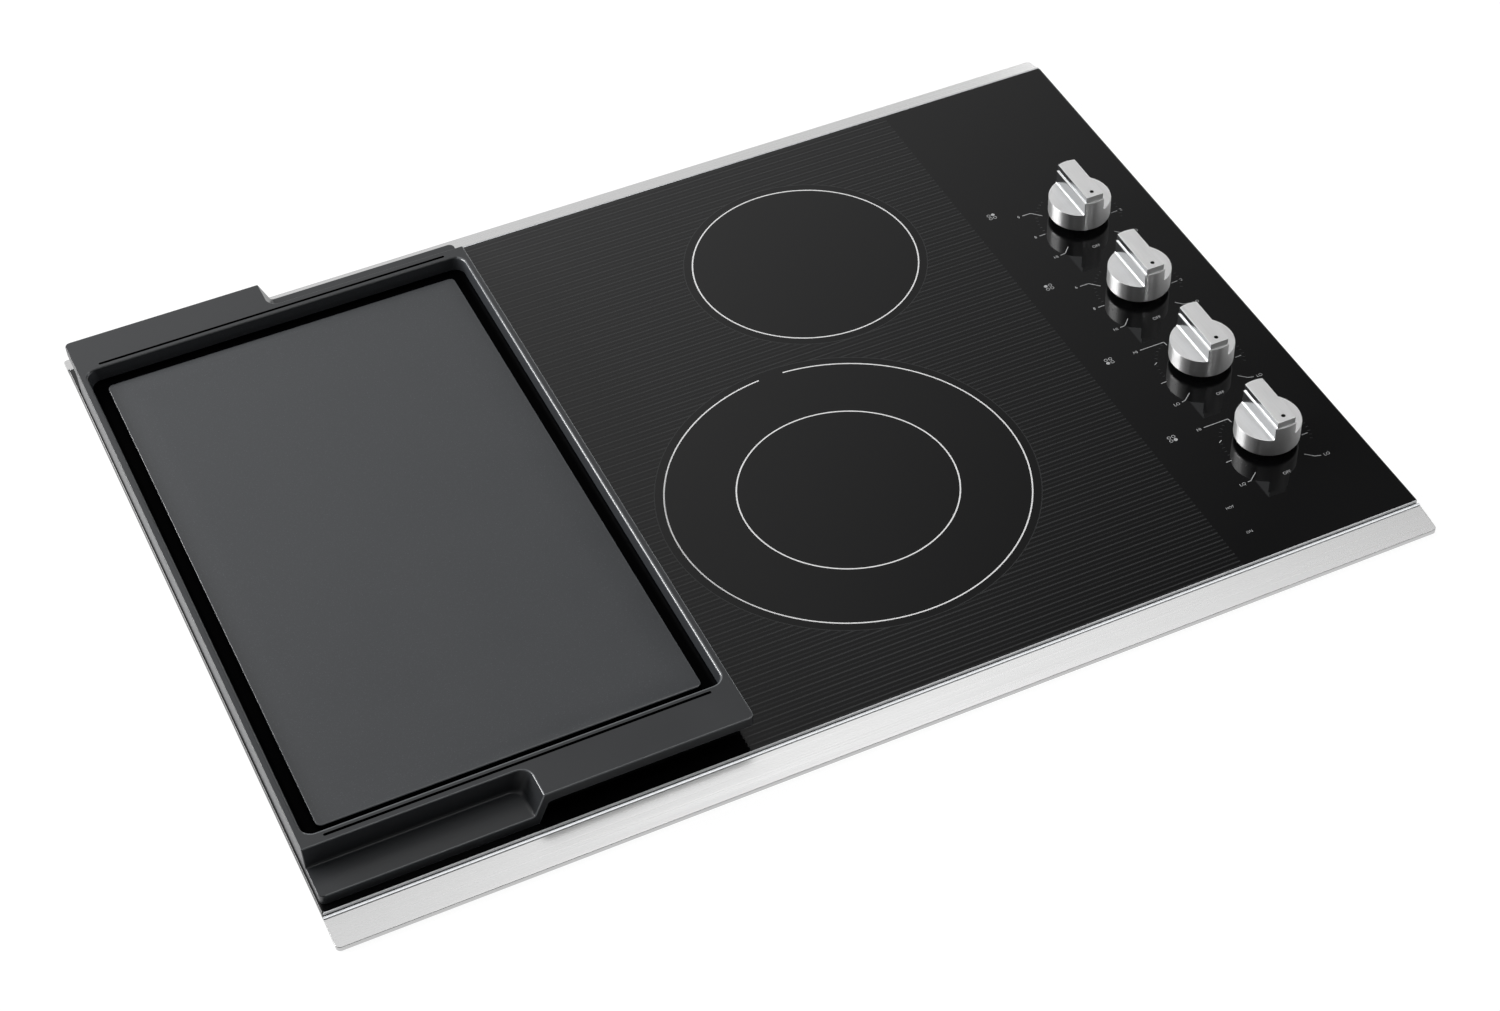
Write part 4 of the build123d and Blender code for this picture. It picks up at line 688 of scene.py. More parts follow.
def add_ring(centre, radius, width, opening=0.0):
    """A printed ring with its film's thickness, open over an angle at its back."""
    clear_selection()
    bpy.ops.mesh.primitive_circle_add(vertices=256, radius=radius - width / 2, location=(centre.x, centre.y, TOP))
    ring = settle(bpy.context.object, "ring")
    pick_edges(ring, lambda a, b: True)
    bpy.ops.mesh.extrude_region_move()
    grow = (radius + width / 2) / (radius - width / 2)
    bpy.ops.transform.resize(value=(grow, grow, 1.0), center_override=(centre.x, centre.y, TOP))
    leave_edit()
    if opening:
        pick_faces(ring, lambda c, n: abs(atan2(c.x - centre.x, c.y - centre.y)) < opening)
        bpy.ops.mesh.delete(type="FACE")
        leave_edit()
    edit_all(ring)
    bpy.ops.mesh.normals_make_consistent(inside=False)
    leave_edit()
    apply_step(ring, "SOLIDIFY", thickness=PRINT_RISE, offset=0.0)
    return ring


def add_word(text, x, y, height):
    """A word or number printed flat on the glass, centred on a point."""
    clear_selection()
    bpy.ops.object.text_add(location=(x, y, TOP), radius=height)
    word = bpy.context.object.data
    word.body = text
    word.align_x = "CENTER"
    word.align_y = "CENTER"
    word.extrude = PRINT_RISE / 2
    word.resolution_u = 3
    bpy.ops.object.convert(target="MESH")
    return settle(bpy.context.object, "word")


def add_stroke(start, end, width):
    """A straight printed line between two points."""
    start, end = Vector(start), Vector(end)
    run = end - start
    middle = (start + end) / 2
    clear_selection()
    bpy.ops.mesh.primitive_cube_add(size=1.0, location=(middle.x, middle.y, TOP))
    stroke = bpy.context.object
    stroke.scale = (run.length, width, PRINT_RISE)
    stroke.rotation_euler = (0.0, 0.0, atan2(run.y, run.x))
    return settle(stroke, "stroke")


def print_on_glass(marks, name, ink):
    """Join printed marks into one piece on the glass."""
    piece = finish(join(marks, name))
    paint(piece, MATERIALS[ink])
    place(piece, "cooktop", "black_glass")


class COOKTOP_OT_rings(bpy.types.Operator):
    """Print the zones' rings on the glass."""

    bl_idname = "cooktop.rings"
    bl_label = "Zone rings"

    def execute(self, context):
        width = context.scene.cooktop_glass.ring_line
        rings = [add_ring(centre, radius, width, opening) for centre, radius, opening in ZONE_RINGS]
        print_on_glass(rings + self.bridge(width), "zone_rings", "ring_print")
        return {"FINISHED"}

    def bridge(self, width):
        """Two lines over the bridge element, which join the left zones' rings."""
        (front, radius), (rear, _) = ZONES["left_front"], ZONES["left_rear"]
        rise = (radius ** 2 - BRIDGE_HALF ** 2) ** 0.5
        return [add_stroke((front.x + x, front.y + rise, TOP), (front.x + x, rear.y - rise, TOP), width)
                for x in (-BRIDGE_HALF, BRIDGE_HALF)]


# Words, then leader lines, of each kind of dial: millimetres from the knob's axis
SINGLE_DIAL = (
    (("OFF", -4.8, -35.8), ("HI", -37.4, -33.5), ("8", -40.2, -7.0), ("6", -40.6, 19.4), ("4", 4.0, 40.0),
     ("2", 32.0, -7.3), ("LO", 29.5, -33.2)),
    (((-37.0, -7.0), (-32.0, -6.8)), ((-37.6, 19.2), (-30.6, 19.2)), ((-30.6, 19.2), (-24.0, 12.8)),
     ((-33.6, -33.2), (-29.3, -32.6)), ((-29.3, -32.6), (-24.0, -27.2)), ((23.6, -7.5), (28.8, -7.2)),
     ((15.2, -27.0), (20.0, -31.5)), ((20.0, -31.5), (25.0, -32.8))),
)
DOUBLE_DIAL = (
    (("OFF", -4.6, -35.5), ("HI", -37.0, 28.2), ("LO", -37.8, -32.0), ("LO", 29.6, -32.0)),
    (((-33.0, 28.6), (-13.6, 28.6)), ((-13.6, 28.6), (-13.0, 24.8)), ((-33.4, -31.4), (-31.0, -31.2)),
     ((-31.0, -31.2), (-24.0, -25.8)), ((15.4, -25.4), (21.0, -30.4)), ((21.0, -30.4), (25.2, -31.6)),
     ((-31.2, 10.6), (-28.4, 12.2)), ((-37.0, -8.4), (-32.4, -8.2)), ((23.8, -8.3), (28.8, -8.2))),
)
# Angles of the hairline ticks on the left and on the right of a dial, and where a tick starts and ends
TICK_ANGLES = (*range(122, 214, 7), *range(-26, 8, 7))
TICK_START, TICK_END = 30.5 * MM, 32.5 * MM
TICK_WEIGHT = 0.35
# The four-zone sign: its place from the knob's axis, half of its pitch, the radii of its filled and open corners,
# the width of its line, and the corner that is filled at each knob
SIGN_X, SIGN_Y, SIGN_STEP = -58.2 * MM, 28.7 * MM, 1.75 * MM
SIGN_DOT, SIGN_RING, SIGN_LINE = 1.4 * MM, 1.2 * MM, 0.4 * MM
ZONE_SIGNS = {1: (1, 1), 2: (-1, 1), 3: (-1, -1), 4: (1, -1)}
# Captions of the two lamps, with their distances from the glass's front and right edges
LAMP_CAPTIONS = (("HOT", 51.9 * MM), ("ON", 26.3 * MM))
CAPTION_INSET, CAPTION_SCALE = 117.8 * MM, 0.8


class COOKTOP_OT_dials(bpy.types.Operator):
    """Print the numbers, leader lines, fine ticks and zone signs beside the knobs."""

    bl_idname = "cooktop.dials"
    bl_label = "Dial marks"

    text_height: length("Text height", "Size of the dial's words", 3.7)

    def execute(self, context):
        width = context.scene.cooktop_glass.mark_line
        marks, ticks = [], []
        for number in KNOBS:
            centre = knob_centre(number)
            words, lines = SINGLE_DIAL if number <= 2 else DOUBLE_DIAL
            marks += [add_word(text, centre.x + x * MM, centre.y + y * MM, self.text_height) for text, x, y in words]
            for line in lines:
                marks.append(add_stroke(*((centre.x + x * MM, centre.y + y * MM, TOP) for x, y in line), width))
            ticks += self.ticks(centre, width * TICK_WEIGHT)
            marks += self.sign(centre, number)
        for text, rise in LAMP_CAPTIONS:
            marks.append(add_word(text, GLASS_HIGH.x - CAPTION_INSET, GLASS_LOW.y + rise,
                                  self.text_height * CAPTION_SCALE))
        print_on_glass(marks, "dial_marks", "print")
        print_on_glass(ticks, "dial_ticks", "fine_print")
        return {"FINISHED"}

    def ticks(self, centre, width):
        """A fan of hairline ticks round the left and right of a dial."""
        base = Vector((centre.x, centre.y, TOP))
        ways = [Vector((cos(radians(degrees)), sin(radians(degrees)), 0.0)) for degrees in TICK_ANGLES]
        return [add_stroke(base + way * TICK_START, base + way * TICK_END, width) for way in ways]

    def sign(self, centre, number):
        """The four-zone sign left of a dial, with this knob's zone filled."""
        middle = Vector((centre.x + SIGN_X, centre.y + SIGN_Y, TOP))
        made = []
        for corner in ((-1, -1), (-1, 1), (1, -1), (1, 1)):
            spot = middle + Vector((*corner, 0.0)) * SIGN_STEP
            if corner == ZONE_SIGNS[number]:
                made.append(add_post("zone", spot, SIGN_DOT, TOP - PRINT_RISE / 2, TOP + PRINT_RISE / 2, 20))
            else:
                made.append(add_ring(spot, SIGN_RING, SIGN_LINE))
        return made


def fold_trim(name, node, side, s):
    """Fold a strip: a tongue under the glass, a hem beside its edge, a sloping face, and a lip round three sides."""
    low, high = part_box(node)
    edge = GLASS_LOW.y if side < 0 else GLASS_HIGH.y
    inner, outer = (high.y, low.y) if side < 0 else (low.y, high.y)
    tip, hem_end = edge + side * s.gap, edge + side * (s.gap + s.hem_width)
    hem_top, foot = TOP - s.hem_drop, TOP - s.fall
    hem_foot = hem_top - s.hem_tilt
    crest = hem_foot - s.hem_step
    strip = add_sheet(name, (low.x, min(inner, tip), GLASS_LOW.z), (high.x, max(inner, tip), GLASS_LOW.z))
    corners = [(tip, hem_top), (hem_end, hem_foot), (hem_end, crest), (outer, foot)]
    here = Vector((0.0, tip, GLASS_LOW.z))
    for y, z in corners:
        there = Vector((0.0, y, z))
        pick_edges(strip, at(y=here.y, z=here.z))
        extrude(*(there - here))
        leave_edit()
        here = there

    def outward(a, b):
        """True for an edge beyond the hem and below its crest."""
        return all(side * (p.y - hem_end) > -NEAR and p.z < crest + NEAR for p in (a, b))

    def on_slope(p):
        """True for a point on the sloping face or its rim."""
        return abs(p.z - crest + (crest - foot) * (p.y - hem_end) / (outer - hem_end)) < NEAR

    outermost = at(y=outer)
    pick_edges(strip, lambda a, b: outward(a, b) and (abs(a.y - b.y) > MM or outermost(a, b)))
    extrude(0.0, 0.0, low.z - foot)
    leave_edit()
    bevel_where(strip, lambda a, b: upright(a, b) and abs(a.y - outer) < NEAR, s.corner_radius, 6)
    bevel_where(strip, lambda a, b: outward(a, b) and on_slope(a) and on_slope(b), s.fold_radius, 3)
    for y, z in corners[:2]:
        bevel_where(strip, at(y=y, z=z), s.hem_radius, 3)
    apply_step(strip, "SOLIDIFY", thickness=s.sheet, offset=-1.0, use_even_offset=True)
    return finish(strip)


class COOKTOP_OT_trims(bpy.types.Operator):
    """Fold the front and rear trims."""

    bl_idname = "cooktop.trims"
    bl_label = "Edge trims"

    def execute(self, context):
        s = context.scene.cooktop_trim
        for node, side in (("front_trim", -1), ("rear_trim", 1)):
            trim = fold_trim(f"{node}_sheet", node, side, s)
            paint(trim, MATERIALS["trim_steel"], MATERIALS["polished"])
            edge = GLASS_LOW.y if side < 0 else GLASS_HIGH.y
            for face in trim.data.polygons:
                on_hem = 0.0 < side * (face.center.y - edge) < s.gap + s.hem_width
                face.material_index = 1 if on_hem and face.normal.z > 0.5 else 0
            place(trim, "cooktop", "trim_steel", node)
        return {"FINISHED"}


def rounded_block(name, low, high, corner, edge_z=None, edge=0.0):
    """A block with rounded upright edges and, at one height, rounded level edges."""
    piece = add_block(name, low, high)
    bevel_where(piece, upright, corner, 8)
    if edge:
        bevel_where(piece, at(z=edge_z), edge, 4)
    return piece


def about_middle(half_x, half_y, low_z, high_z):
    """Two corners of a box that is centred on the griddle in plan."""
    x, y = GRIDDLE_MID.x, GRIDDLE_MID.y
    return (x - half_x, y - half_y, low_z), (x + half_x, y + half_y, high_z)


def end_cutter(s, side, upper):
    """A tool that clears the air above the low ledge of one end, or the air below its raised ledge."""
    half = (GRIDDLE_HIGH.x - GRIDDLE_LOW.x) / 2
    reach = (GRIDDLE_HIGH.y - GRIDDLE_LOW.y) / 2
    bottom, top = GRIDDLE_LOW.z, GRIDDLE_HIGH.z
    over = 12.0 * MM
    out, shift = (-side, -s.riser_offset) if upper else (side, s.riser_offset)
    riser_top, riser_foot = s.riser_run + shift, shift - s.riser_run
    slant = (riser_top - riser_foot) / (top - bottom - s.ledge_thickness)
    near, far = (bottom + s.ledge_thickness, top + over) if upper else (top - s.ledge_thickness, bottom - over)
    wall = GRIDDLE_MID.y - side * (reach - s.ledge_length)
    seam = GRIDDLE_MID.x + side * (riser_foot if upper else riser_top)
    ys = sorted((wall, wall - side * (s.ledge_length + over)))
    xs = sorted((seam, GRIDDLE_MID.x + out * (half + over)))
    zs = sorted((near, far))
    tool = add_block("end_cutter", (xs[0], ys[0], zs[0]), (xs[1], ys[1], zs[1]))
    pick_edges(tool, at(x=seam, z=far))
    bpy.ops.transform.translate(value=(side * slant * (far - near), 0.0, 0.0))
    leave_edit()
    at_wall, at_near, at_foot = at(y=wall), at(z=near), at(y=wall, z=near)

    def short_of(a, b, limit):
        """True for an edge on the riser's side of a limit."""
        return all(out * (p.x - GRIDDLE_MID.x) < limit for p in (a, b))

    bevel_where(tool, lambda a, b: at_wall(a, b) and short_of(a, b, half / 2) and abs(a.z - b.z) > MM,
                s.inner_radius, 8)
    bevel_where(tool, lambda a, b: at_foot(a, b) or at_near(a, b) and short_of(a, b, half + over / 2),
                s.foot_radius, 5)
    return tool


# The recess in the griddle's underside and its grill ribs
RECESS_WALL, RECESS_DEPTH, RECESS_FILLET = 3.0 * MM, 8.0 * MM, 2.0 * MM
RIB_PITCH, RIB_WIDTH, RIB_HEIGHT, RIB_ROUND = 22.0 * MM, 7.0 * MM, 5.5 * MM, 1.8 * MM


class COOKTOP_OT_griddle(bpy.types.Operator):
    """Model the reversible griddle."""

    bl_idname = "cooktop.griddle"
    bl_label = "Griddle"

    def execute(self, context):
        s = context.scene.cooktop_griddle
        half_x = (GRIDDLE_HIGH.x - GRIDDLE_LOW.x) / 2
        half_y = (GRIDDLE_HIGH.y - GRIDDLE_LOW.y) / 2 - s.ledge_length
        tray_x, tray_y = half_x - s.rim_side, half_y - s.rim_end
        plate_x, plate_y = tray_x - s.moat_side, tray_y - s.moat_end
        casting = rounded_block("griddle_casting", GRIDDLE_LOW, GRIDDLE_HIGH, s.corner_radius)
        # Slot 1 is a lighter, glossier coat for rounded edges, a painted highlight; slot 2 is near black for the moat
        # and grooves, painted shade
        paint(casting, *(MATERIALS[name] for name in ("griddle_coat", "highlight_coat_for_edges", "hollow_painted_shade")))
        for side in (1, -1):
            for upper in (True, False):
                carve(casting, end_cutter(s, side, upper))
        # The casting's sharp edges take slot 1, the lighter coat that paints a highlight
        round_ridges(casting, s.edge_radius, 1)
        self.sink_tray(s, casting, tray_x, tray_y)
        self.add_plate(s, casting, plate_x, plate_y)
        self.coat(s, casting, tray_x, tray_y)
        self.cut_grooves(s, casting, half_x - s.groove_end, tray_y + s.groove_inset)
        self.hollow_underside(s, casting, tray_x - RECESS_WALL, tray_y - RECESS_WALL, plate_x)
        finish(casting)
        place(casting, "griddle", "griddle_coat", "griddle")
        return {"FINISHED"}

    def sink_tray(self, s, casting, half_x, half_y):
        """Cut the tray with its drafted walls and fillet, and round its mouth."""
        top, floor = GRIDDLE_HIGH.z, GRIDDLE_LOW.z + s.moat_floor
        tray = add_block("tray", *about_middle(half_x - s.rim_flare, half_y - s.rim_flare, floor, top))
        pick_faces(tray, lambda c, n: n.z > 0.5)
        bpy.ops.transform.resize(value=(half_x / (half_x - s.rim_flare), half_y / (half_y - s.rim_flare), 1.0),
                                 center_override=(GRIDDLE_MID.x, GRIDDLE_MID.y, top))
        extrude(0.0, 0.0, 3.0 * MM)
        leave_edit()
        bevel_where(tray, lambda a, b: abs(a.z - b.z) > MM, s.tray_corner, 8)
        bevel_where(tray, at(z=floor), s.moat_radius, 5)
        carve(casting, tray)
        on_top, slack = at(z=top), 0.2 * MM

        def inside(p):
            """True for a point within the tray's mouth."""
            return abs(p.x - GRIDDLE_MID.x) < half_x + slack and abs(p.y - GRIDDLE_MID.y) < half_y + slack

        # The tray's mouth takes the same painted highlight
        bevel_where(casting, lambda a, b: on_top(a, b) and inside(a) and inside(b), s.mouth_radius, 4, 1)

    def add_plate(self, s, casting, half_x, half_y):
        """Raise the plate: its crown is inset in two steps, and then its corners are cut round."""
        floor, top = GRIDDLE_LOW.z + s.moat_floor, GRIDDLE_LOW.z + s.plate_height
        plate = add_block("plate", *about_middle(half_x + MM, half_y + MM, floor - 2.0 * MM, top - s.plate_crown))
        paint(plate, *casting.data.materials)
        pick_faces(plate, lambda c, n: n.z > 0.5)
        for part in (0.75, 0.25):
            bpy.ops.mesh.inset(thickness=s.crown_run / 2, depth=s.plate_crown * part)
        leave_edit()
        outline = about_middle(half_x, half_y, floor - 3.0 * MM, top + 5.0 * MM)
        carve(plate, rounded_block("outline", *outline, s.plate_corner), "INTERSECT")
        # The plate's edges take the same painted highlight
        round_ridges(plate, s.edge_radius, 1)
        carve(casting, plate, "UNION")

    def coat(self, s, casting, tray_x, tray_y):
        """Paint the moat's floor and fillets near black, as painted shade, and take the lighter edge coat, a painted
        highlight, off the edges at the left and the back.
        """
        mid, floor = GRIDDLE_MID, GRIDDLE_LOW.z + s.moat_floor
        for face in casting.data.polygons:
            spot = face.center - mid
            if abs(spot.x) < tray_x and abs(spot.y) < tray_y and -MM < face.center.z - floor < s.moat_radius:
                face.material_index = 2
            behind = face.center.y > mid.y + tray_y - MM and face.normal.y < 0.3
            if face.material_index == 1 and (face.center.x < GRIDDLE_LOW.x + s.rim_side + MM or behind):
                face.material_index = 0

    def cut_grooves(self, s, casting, half_x, offset):
        """Cut a groove into each end rim, whose faces are painted near black as shade."""
        mid, top = GRIDDLE_MID, GRIDDLE_HIGH.z
        floor = top - s.groove_depth
        corner, fillet = 1.2 * MM, 0.8 * MM
        for side in (-1, 1):
            near = mid.y + side * offset
            far = near + side * s.groove_width
            groove = rounded_block("groove", (mid.x - half_x, min(near, far), floor),
                                   (mid.x + half_x, max(near, far), top + MM), corner, floor, fillet)
            carve(casting, groove, slot=2)

    def hollow_underside(self, s, casting, half_x, half_y, rib_half):
        """Hollow the underside and set its grill ribs."""
        ceiling = GRIDDLE_LOW.z + RECESS_DEPTH
        crest = ceiling - RIB_HEIGHT
        recess = about_middle(half_x, half_y, GRIDDLE_LOW.z - MM, ceiling)
        carve(casting, rounded_block("recess", *recess, s.tray_corner, ceiling, RECESS_FILLET))
        count = int((2 * half_y - RIB_WIDTH) // RIB_PITCH)
        ribs = []
        for i in range(count):
            y = GRIDDLE_MID.y + RIB_PITCH * (i - (count - 1) / 2)
            rib = add_block("rib", (GRIDDLE_MID.x - rib_half, y - RIB_WIDTH / 2, crest),
                            (GRIDDLE_MID.x + rib_half, y + RIB_WIDTH / 2, ceiling + MM))
            bevel_where(rib, at(z=crest), RIB_ROUND, 3)
            ribs.append(rib)
        carve(casting, join(ribs, "ribs"), "UNION")


def model_knob(s):
    """One knob at its own place: a turned body, scooped on both sides of a grip bar, with a stepped cap."""
    low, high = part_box("knob_1")
    centre = knob_centre(1)
    radius = (high.x - low.x) / 2
    shoulder = low.z + s.shoulder
    cap = high.z - s.cap_height
    grip = s.grip_width / 2
    over = 10.0 * MM
    knob = add_post("knob_body_1", centre, radius, low.z, high.z, 128)
    paint(knob, *(MATERIALS[name] for name in ("knob_steel", "knob_turned", "dot", "polished")))
    for face in knob.data.polygons:
        face.material_index = 1 if abs(face.normal.z) < 0.5 else 0
    bevel_where(knob, at(z=low.z), s.foot_radius, 4)
    for side in (-1, 1):
        for name, inset, floor in (("scoop", 0.0, shoulder), ("step", s.cap_inset, cap)):
            inner = centre.x + side * (grip - inset)
            xs = sorted((inner, centre.x + side * (radius + over)))
            tool = add_block(name, (xs[0], low.y - over, floor), (xs[1], high.y + over, high.z + over))
            if name == "scoop":
                bevel_where(tool, at(x=inner, z=floor), s.scoop_radius, 6)
            carve(knob, tool, slot=3)
    front = low.y + s.cap_front
    carve(knob, add_block("front", (low.x - over, low.y - over, cap), (high.x + over, front, high.z + over)), slot=1)
    for face in knob.data.polygons:
        if face.material_index in (1, 3) and face.normal.z > 0.5:
            face.material_index = 0
    apply_step(knob, "BEVEL", width=s.edge_radius, segments=2, limit_method="ANGLE", angle_limit=RIDGE_ANGLE,
               use_clamp_overlap=False, miter_outer="MITER_ARC")
    roof = shoulder - s.wall
    hub = low.z + s.hub_setback
    carve(knob, add_post("hollow", centre, radius - s.wall, low.z - over, roof, 96))
    carve(knob, add_post("hub", centre, s.hub_radius, hub, roof + MM, 48), "UNION")
    carve(knob, add_post("socket", centre, s.shaft_radius, low.z, hub + s.shaft_depth, 32))
    spot = (centre.x, centre.y - s.dot_offset)
    dimple, dot_top = high.z - s.dot_dimple, high.z - s.dot_sink
    carve(knob, add_post("dimple", spot, s.dot_radius, dimple, high.z + over, 40))
    finish(knob)
    dot = add_post("dot", spot, s.dot_radius - 0.05 * MM, dimple - 0.1 * MM, dot_top, 40)
    bevel_where(dot, at(z=dot_top), 0.2 * MM, 2)
    finish(dot)
    paint(dot, MATERIALS["dot"])
    return join([knob, dot], "knob_body_1")


class COOKTOP_OT_knobs(bpy.types.Operator):
    """Model one knob and copy it to the other controls."""

    bl_idname = "cooktop.knobs"
    bl_label = "Knobs"

    def execute(self, context):
        for number, knob in copy_along(model_knob(context.scene.cooktop_knob), "knob_body"):
            place(knob, f"control_{number}", "knob_steel", f"knob_{number}")
        return {"FINISHED"}


def bow_leaf(name, low, high, foot, sheet):
    """A bowed strip along Y: a flat foot, an arc spun over to a second foot, and the sheet's thickness."""
    middle = (low + high) / 2
    half = (high.y - low.y) / 2 - foot
    crest = high.z - low.z - sheet
    radius = (half ** 2 + crest ** 2) / (2 * crest)
    leaf = add_sheet(name, low, (high.x, low.y + foot, low.z))
    pick_edges(leaf, at(y=low.y + foot))
    bpy.ops.mesh.spin(steps=24, angle=2 * asin(half / radius), axis=(1.0, 0.0, 0.0),
                      center=(middle.x, middle.y, low.z + crest - radius))
    leave_edit()
    pick_edges(leaf, at(y=high.y - foot))
    extrude(0.0, foot, 0.0)
    bpy.ops.mesh.select_all(action="SELECT")
    extrude(0.0, 0.0, sheet)
    leave_edit()
    return finish(leaf)


class COOKTOP_OT_springs(bpy.types.Operator):
    """Bend the leaf under each shaft, in its rest shape; the real leaf flattens as its knob is pushed."""

    bl_idname = "cooktop.springs"
    bl_label = "Return springs"

    foot: length("Foot", "Flat foot at each end of a leaf", 3.0)
    sheet: length("Sheet", "Thickness of a leaf", 0.4)

    def execute(self, context):
        low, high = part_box("return_spring_1")
        first = bow_leaf("return_leaf_1", low, high, self.foot, self.sheet)
        paint(first, MATERIALS["spring_steel"])
        for number, leaf in copy_along(first, "return_leaf"):
            node, push = f"return_spring_{number}", f"knob_{number}_push"
            place(leaf, "cooktop", "spring_steel", node)
            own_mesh(leaf)
        return {"FINISHED"}


# Stage

WHITE = (1.0, 1.0, 1.0, 1.0)
# Name, place, aim and size of each lamp, in metres, and the setting that gives its power
LAMPS = (
    ("softbox", (0.6, -0.66, 1.95), (0.6, -0.27, 0.085), (2.1, 0.3), "softbox_power"),
    ("strip", (-1.35, 0.75, 0.6), (-0.3, 0.0, 0.085), (1.2, 0.4), "strip_power"),
    ("rim_light", (1.35, 1.3, 0.4), (-0.1, 0.0, 0.085), (0.9, 0.25), "rim_power"),
)
CAMERA_SPOT = (-0.56261, -1.38629, 1.50712)
CAMERA_AIM = (0.00652, -0.25579, 0.085)
CAMERA_SHIFT = (-0.1037, 0.1165)


def floor_material(s):
    """Matt white worktop: lit for shadows, held near white for the camera, and dim in front for mirrored rays."""
    material, shader, spot, add = new_material("white_worktop")
    feed(shader, {"Base Color": s.floor_colour, "Roughness": 0.9})
    rays = add("LightPath").outputs
    plain = add("Math", rays["Is Camera Ray"], rays["Is Glossy Ray"], operation="MAXIMUM")
    seen = add("Math", plain, 0.85, operation="MULTIPLY")
    y = add("SeparateXYZ", spot).outputs["Y"]
    mirrored = add("MapRange", y, -0.37, -0.31, 0.2, 1.0)
    strength = add("Mix", rays["Is Camera Ray"], sockets={2: mirrored, 3: 1.09}, data_type="FLOAT")
    both = add("MixShader", seen, shader, add("Emission", WHITE, strength))
    feed(material.node_tree.nodes["Material Output"], {"Surface": both})
    return material


def light_dome():
    """A white studio dome that the glass mirrors.

    It has a dark flag high at the back right, a bright strip across the ceiling, and a dim front.
    """
    world = bpy.data.worlds.new("studio_dome")
    world.use_nodes = True
    bpy.context.scene.world = world
    tree = world.node_tree
    tree.nodes.clear()
    add = partial(add_node, tree)
    way = add("TexCoord").outputs["Generated"]
    x, y, z = add("SeparateXYZ", way).outputs

    # The flag: the dome darkens towards the back right, inside a round edge
    lean = add("VectorMath", way, (-2.44, -0.63, -2.68), operation="DOT_PRODUCT")
    flag = add("Clamp", add("Math", lean, 3.39, operation="ADD"), 0.11, 1.0)
    near = add("VectorMath", way, (0.47, 0.55, 0.69), operation="DOT_PRODUCT")
    off_flag = add("Math", near, operation="ARCCOSINE")
    dome = add("MapRange", off_flag, radians(25.0), radians(38.0), 0.0, 1.0)
    level = add("Math", flag, dome, operation="MAXIMUM")

    # The ceiling: a bright band overhead, strongest in its middle
    overhead = add("Math", y, -0.5, z, operation="MULTIPLY_ADD")
    ceiling = add("MapRange", overhead, 0.6, 0.68, 0.0, 1.0)
    near_top = add("MapRange", z, 0.76, 0.82, 0.0, 1.0)
    rearward = add("MapRange", y, -0.05, 0.1, 0.0, 1.0)
    near_top = add("Math", near_top, rearward, operation="MULTIPLY")
    ceiling = add("Math", ceiling, near_top, operation="MULTIPLY")
    off_middle = add("Math", add("Math", x, 0.32, operation="SUBTRACT"), operation="ABSOLUTE")
    glow = add("MapRange", off_middle, 0.08, 0.26, 2.45, 0.9)
    ceiling = add("Math", ceiling, glow, operation="MULTIPLY")

    # The front: dim, with lighter sides
    bearing = add("VectorMath", add("CombineXYZ", x, y, 0.0), operation="NORMALIZE")
    east, north, _ = add("SeparateXYZ", bearing).outputs
    right = add("MapRange", east, 0.2, 0.85, 0.16, 0.9)
    left = add("MapRange", east, -0.93, -0.9, 0.7, 0.0)
    low = add("MapRange", z, 0.2, 0.4, 1.0, 0.08)
    front = add("Math", add("Math", left, right, operation="MAXIMUM"), low, operation="MULTIPLY")
    ahead = add("MapRange", north, -0.06, 0.06, 1.0, 0.0)
    dim = add("Mix", ahead, sockets={2: 1.0, 3: front}, data_type="FLOAT")
    level = add("Math", level, dim, operation="MULTIPLY")
    level = add("Math", level, ceiling, operation="MAXIMUM")

    # The camera sees plain white
    seen = add("LightPath").outputs["Is Camera Ray"]
    strength = add("Mix", seen, sockets={2: level, 3: 1.0}, data_type="FLOAT")
    add("OutputWorld", add("Background", WHITE, strength))


def aimed(name, data, spot, target):
    """A lamp or a camera at a spot, facing a point."""
    made = bpy.data.objects.new(name, data)
    made.location = spot
    made.rotation_euler = (Vector(target) - Vector(spot)).to_track_quat("-Z", "Y").to_euler()
    bpy.context.scene.collection.objects.link(made)
    return made


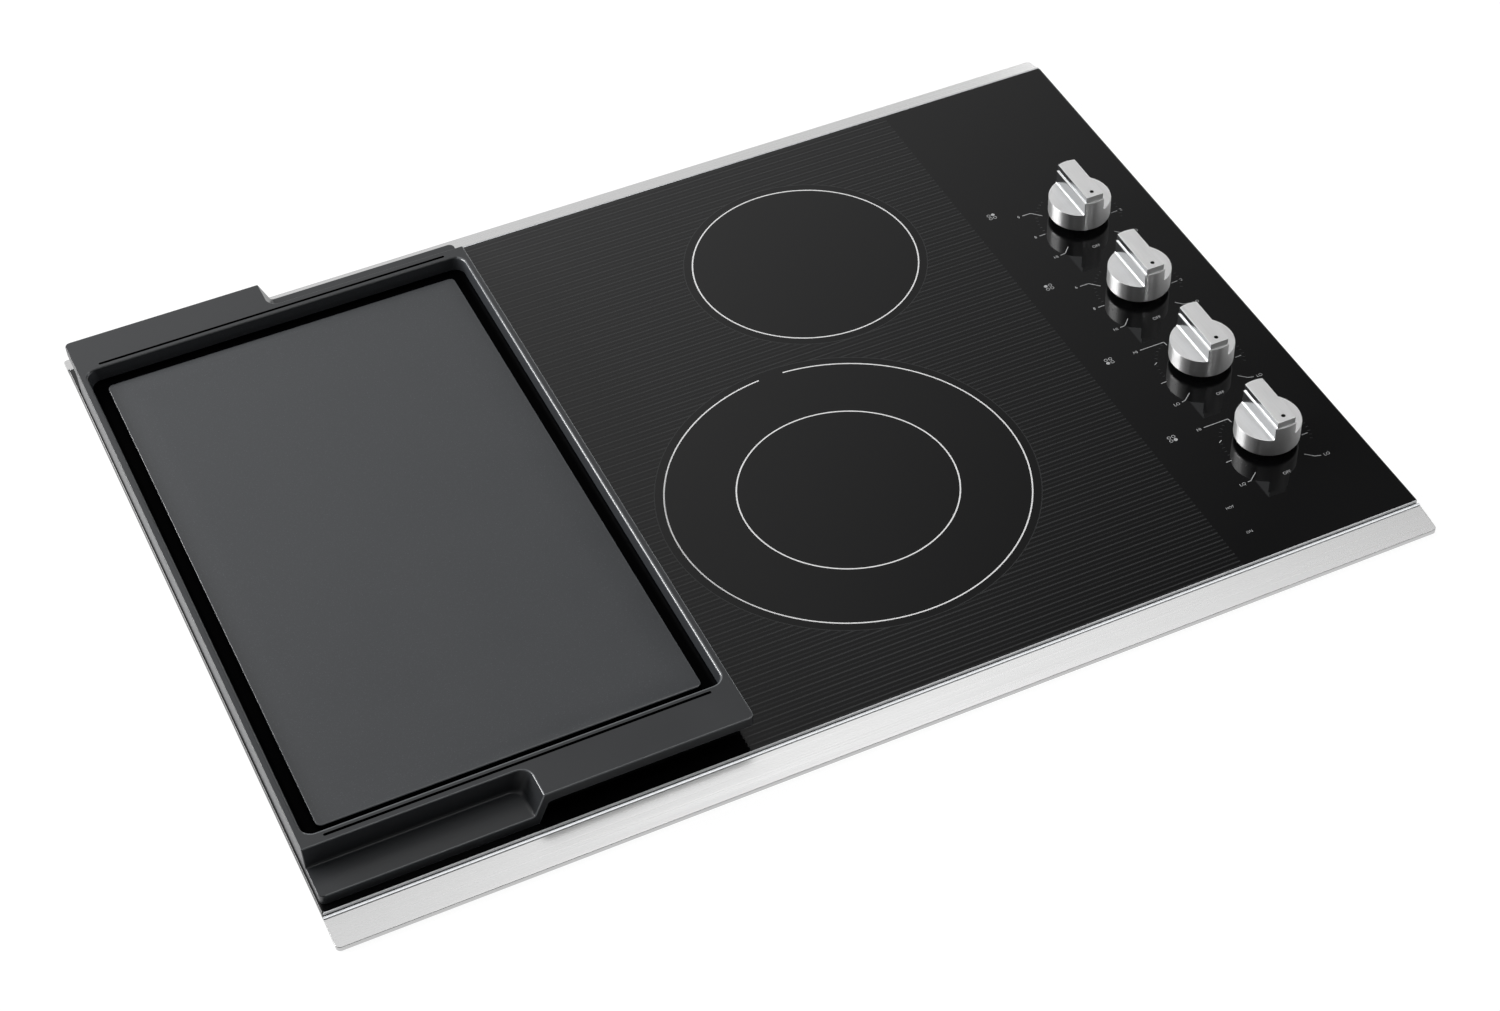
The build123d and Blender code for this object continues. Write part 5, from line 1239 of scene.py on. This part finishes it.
class COOKTOP_OT_stage(bpy.types.Operator):
    """Set the worktop, the light and the camera."""

    bl_idname = "cooktop.stage"
    bl_label = "Stage"

    def execute(self, context):
        s = context.scene.cooktop_stage
        self.worktop(s)
        light_dome()
        for name, spot, target, size, setting in LAMPS:
            data = bpy.data.lights.new(name, "AREA")
            data.shape = "RECTANGLE"
            data.size, data.size_y = size
            data.energy = getattr(s, setting)
            aimed(name, data, spot, target)
        data = bpy.data.cameras.new("camera")
        data.lens = s.lens
        data.sensor_width = 36.0
        data.shift_x, data.shift_y = CAMERA_SHIFT
        context.scene.camera = aimed("camera", data, CAMERA_SPOT, CAMERA_AIM)
        context.scene.view_settings.view_transform = "Standard"
        return {"FINISHED"}

    def worktop(self, s):
        """A wide floor at the rim's height, with a hole for the burner box."""
        level = GASKET_LOW.z
        clear_selection()
        bpy.ops.mesh.primitive_plane_add(size=2 * s.floor_size, location=(0.0, 0.0, level))
        worktop = settle(bpy.context.object, "worktop")
        edit_all(worktop)
        bpy.ops.mesh.inset(thickness=s.floor_size / 2)
        leave_edit()
        pick_faces(worktop, lambda c, n: abs(c.x) < MM and abs(c.y) < MM)
        size = (BOX_HIGH - BOX_LOW) / s.floor_size
        bpy.ops.transform.resize(value=(size.x, size.y, 1.0), center_override=(0.0, 0.0, level))
        bpy.ops.transform.translate(value=(0.0, (BOX_LOW.y + BOX_HIGH.y) / 2, 0.0))
        bpy.ops.mesh.delete(type="FACE")
        leave_edit()
        paint(worktop, floor_material(s))


class COOKTOP_PT_panel(bpy.types.Panel):
    """Lists the pieces in the 3D view's sidebar."""

    bl_idname = "COOKTOP_PT_panel"
    bl_label = "Cooktop"
    bl_space_type = "VIEW_3D"
    bl_region_type = "UI"
    bl_category = "Cooktop"

    def draw(self, context):
        for piece in OPERATORS:
            self.layout.operator(piece.bl_idname)
        for name in SETTINGS:
            group = getattr(context.scene, name)
            for field in group.bl_rna.properties.keys():
                if field not in ("rna_type", "name"):
                    self.layout.prop(group, field)


SETTINGS = {
    "cooktop_glass": GlassSettings,
    "cooktop_trim": TrimSettings,
    "cooktop_griddle": GriddleSettings,
    "cooktop_knob": KnobSettings,
    "cooktop_stage": StageSettings,
}
OPERATORS = (COOKTOP_OT_finishes, COOKTOP_OT_glass, COOKTOP_OT_rings, COOKTOP_OT_dials, COOKTOP_OT_trims,
             COOKTOP_OT_griddle, COOKTOP_OT_knobs, COOKTOP_OT_springs, COOKTOP_OT_stage)


def register():
    """Add the settings, the operators and the panel to Blender."""
    for name, group in SETTINGS.items():
        bpy.utils.register_class(group)
        setattr(bpy.types.Scene, name, PointerProperty(type=group))
    for made in OPERATORS + (COOKTOP_PT_panel,):
        bpy.utils.register_class(made)


def unregister():
    """Take them away again."""
    for made in reversed(OPERATORS + (COOKTOP_PT_panel,)):
        bpy.utils.unregister_class(made)
    for name, group in SETTINGS.items():
        delattr(bpy.types.Scene, name)
        bpy.utils.unregister_class(group)


def main():
    """Build every piece in order."""
    register()
    bpy.ops.cooktop.finishes()
    bpy.ops.cooktop.glass()
    bpy.ops.cooktop.rings()
    bpy.ops.cooktop.dials()
    bpy.ops.cooktop.trims()
    bpy.ops.cooktop.griddle()
    bpy.ops.cooktop.knobs()
    bpy.ops.cooktop.springs()
    bpy.ops.cooktop.stage()


if __name__ == "__main__":
    main()
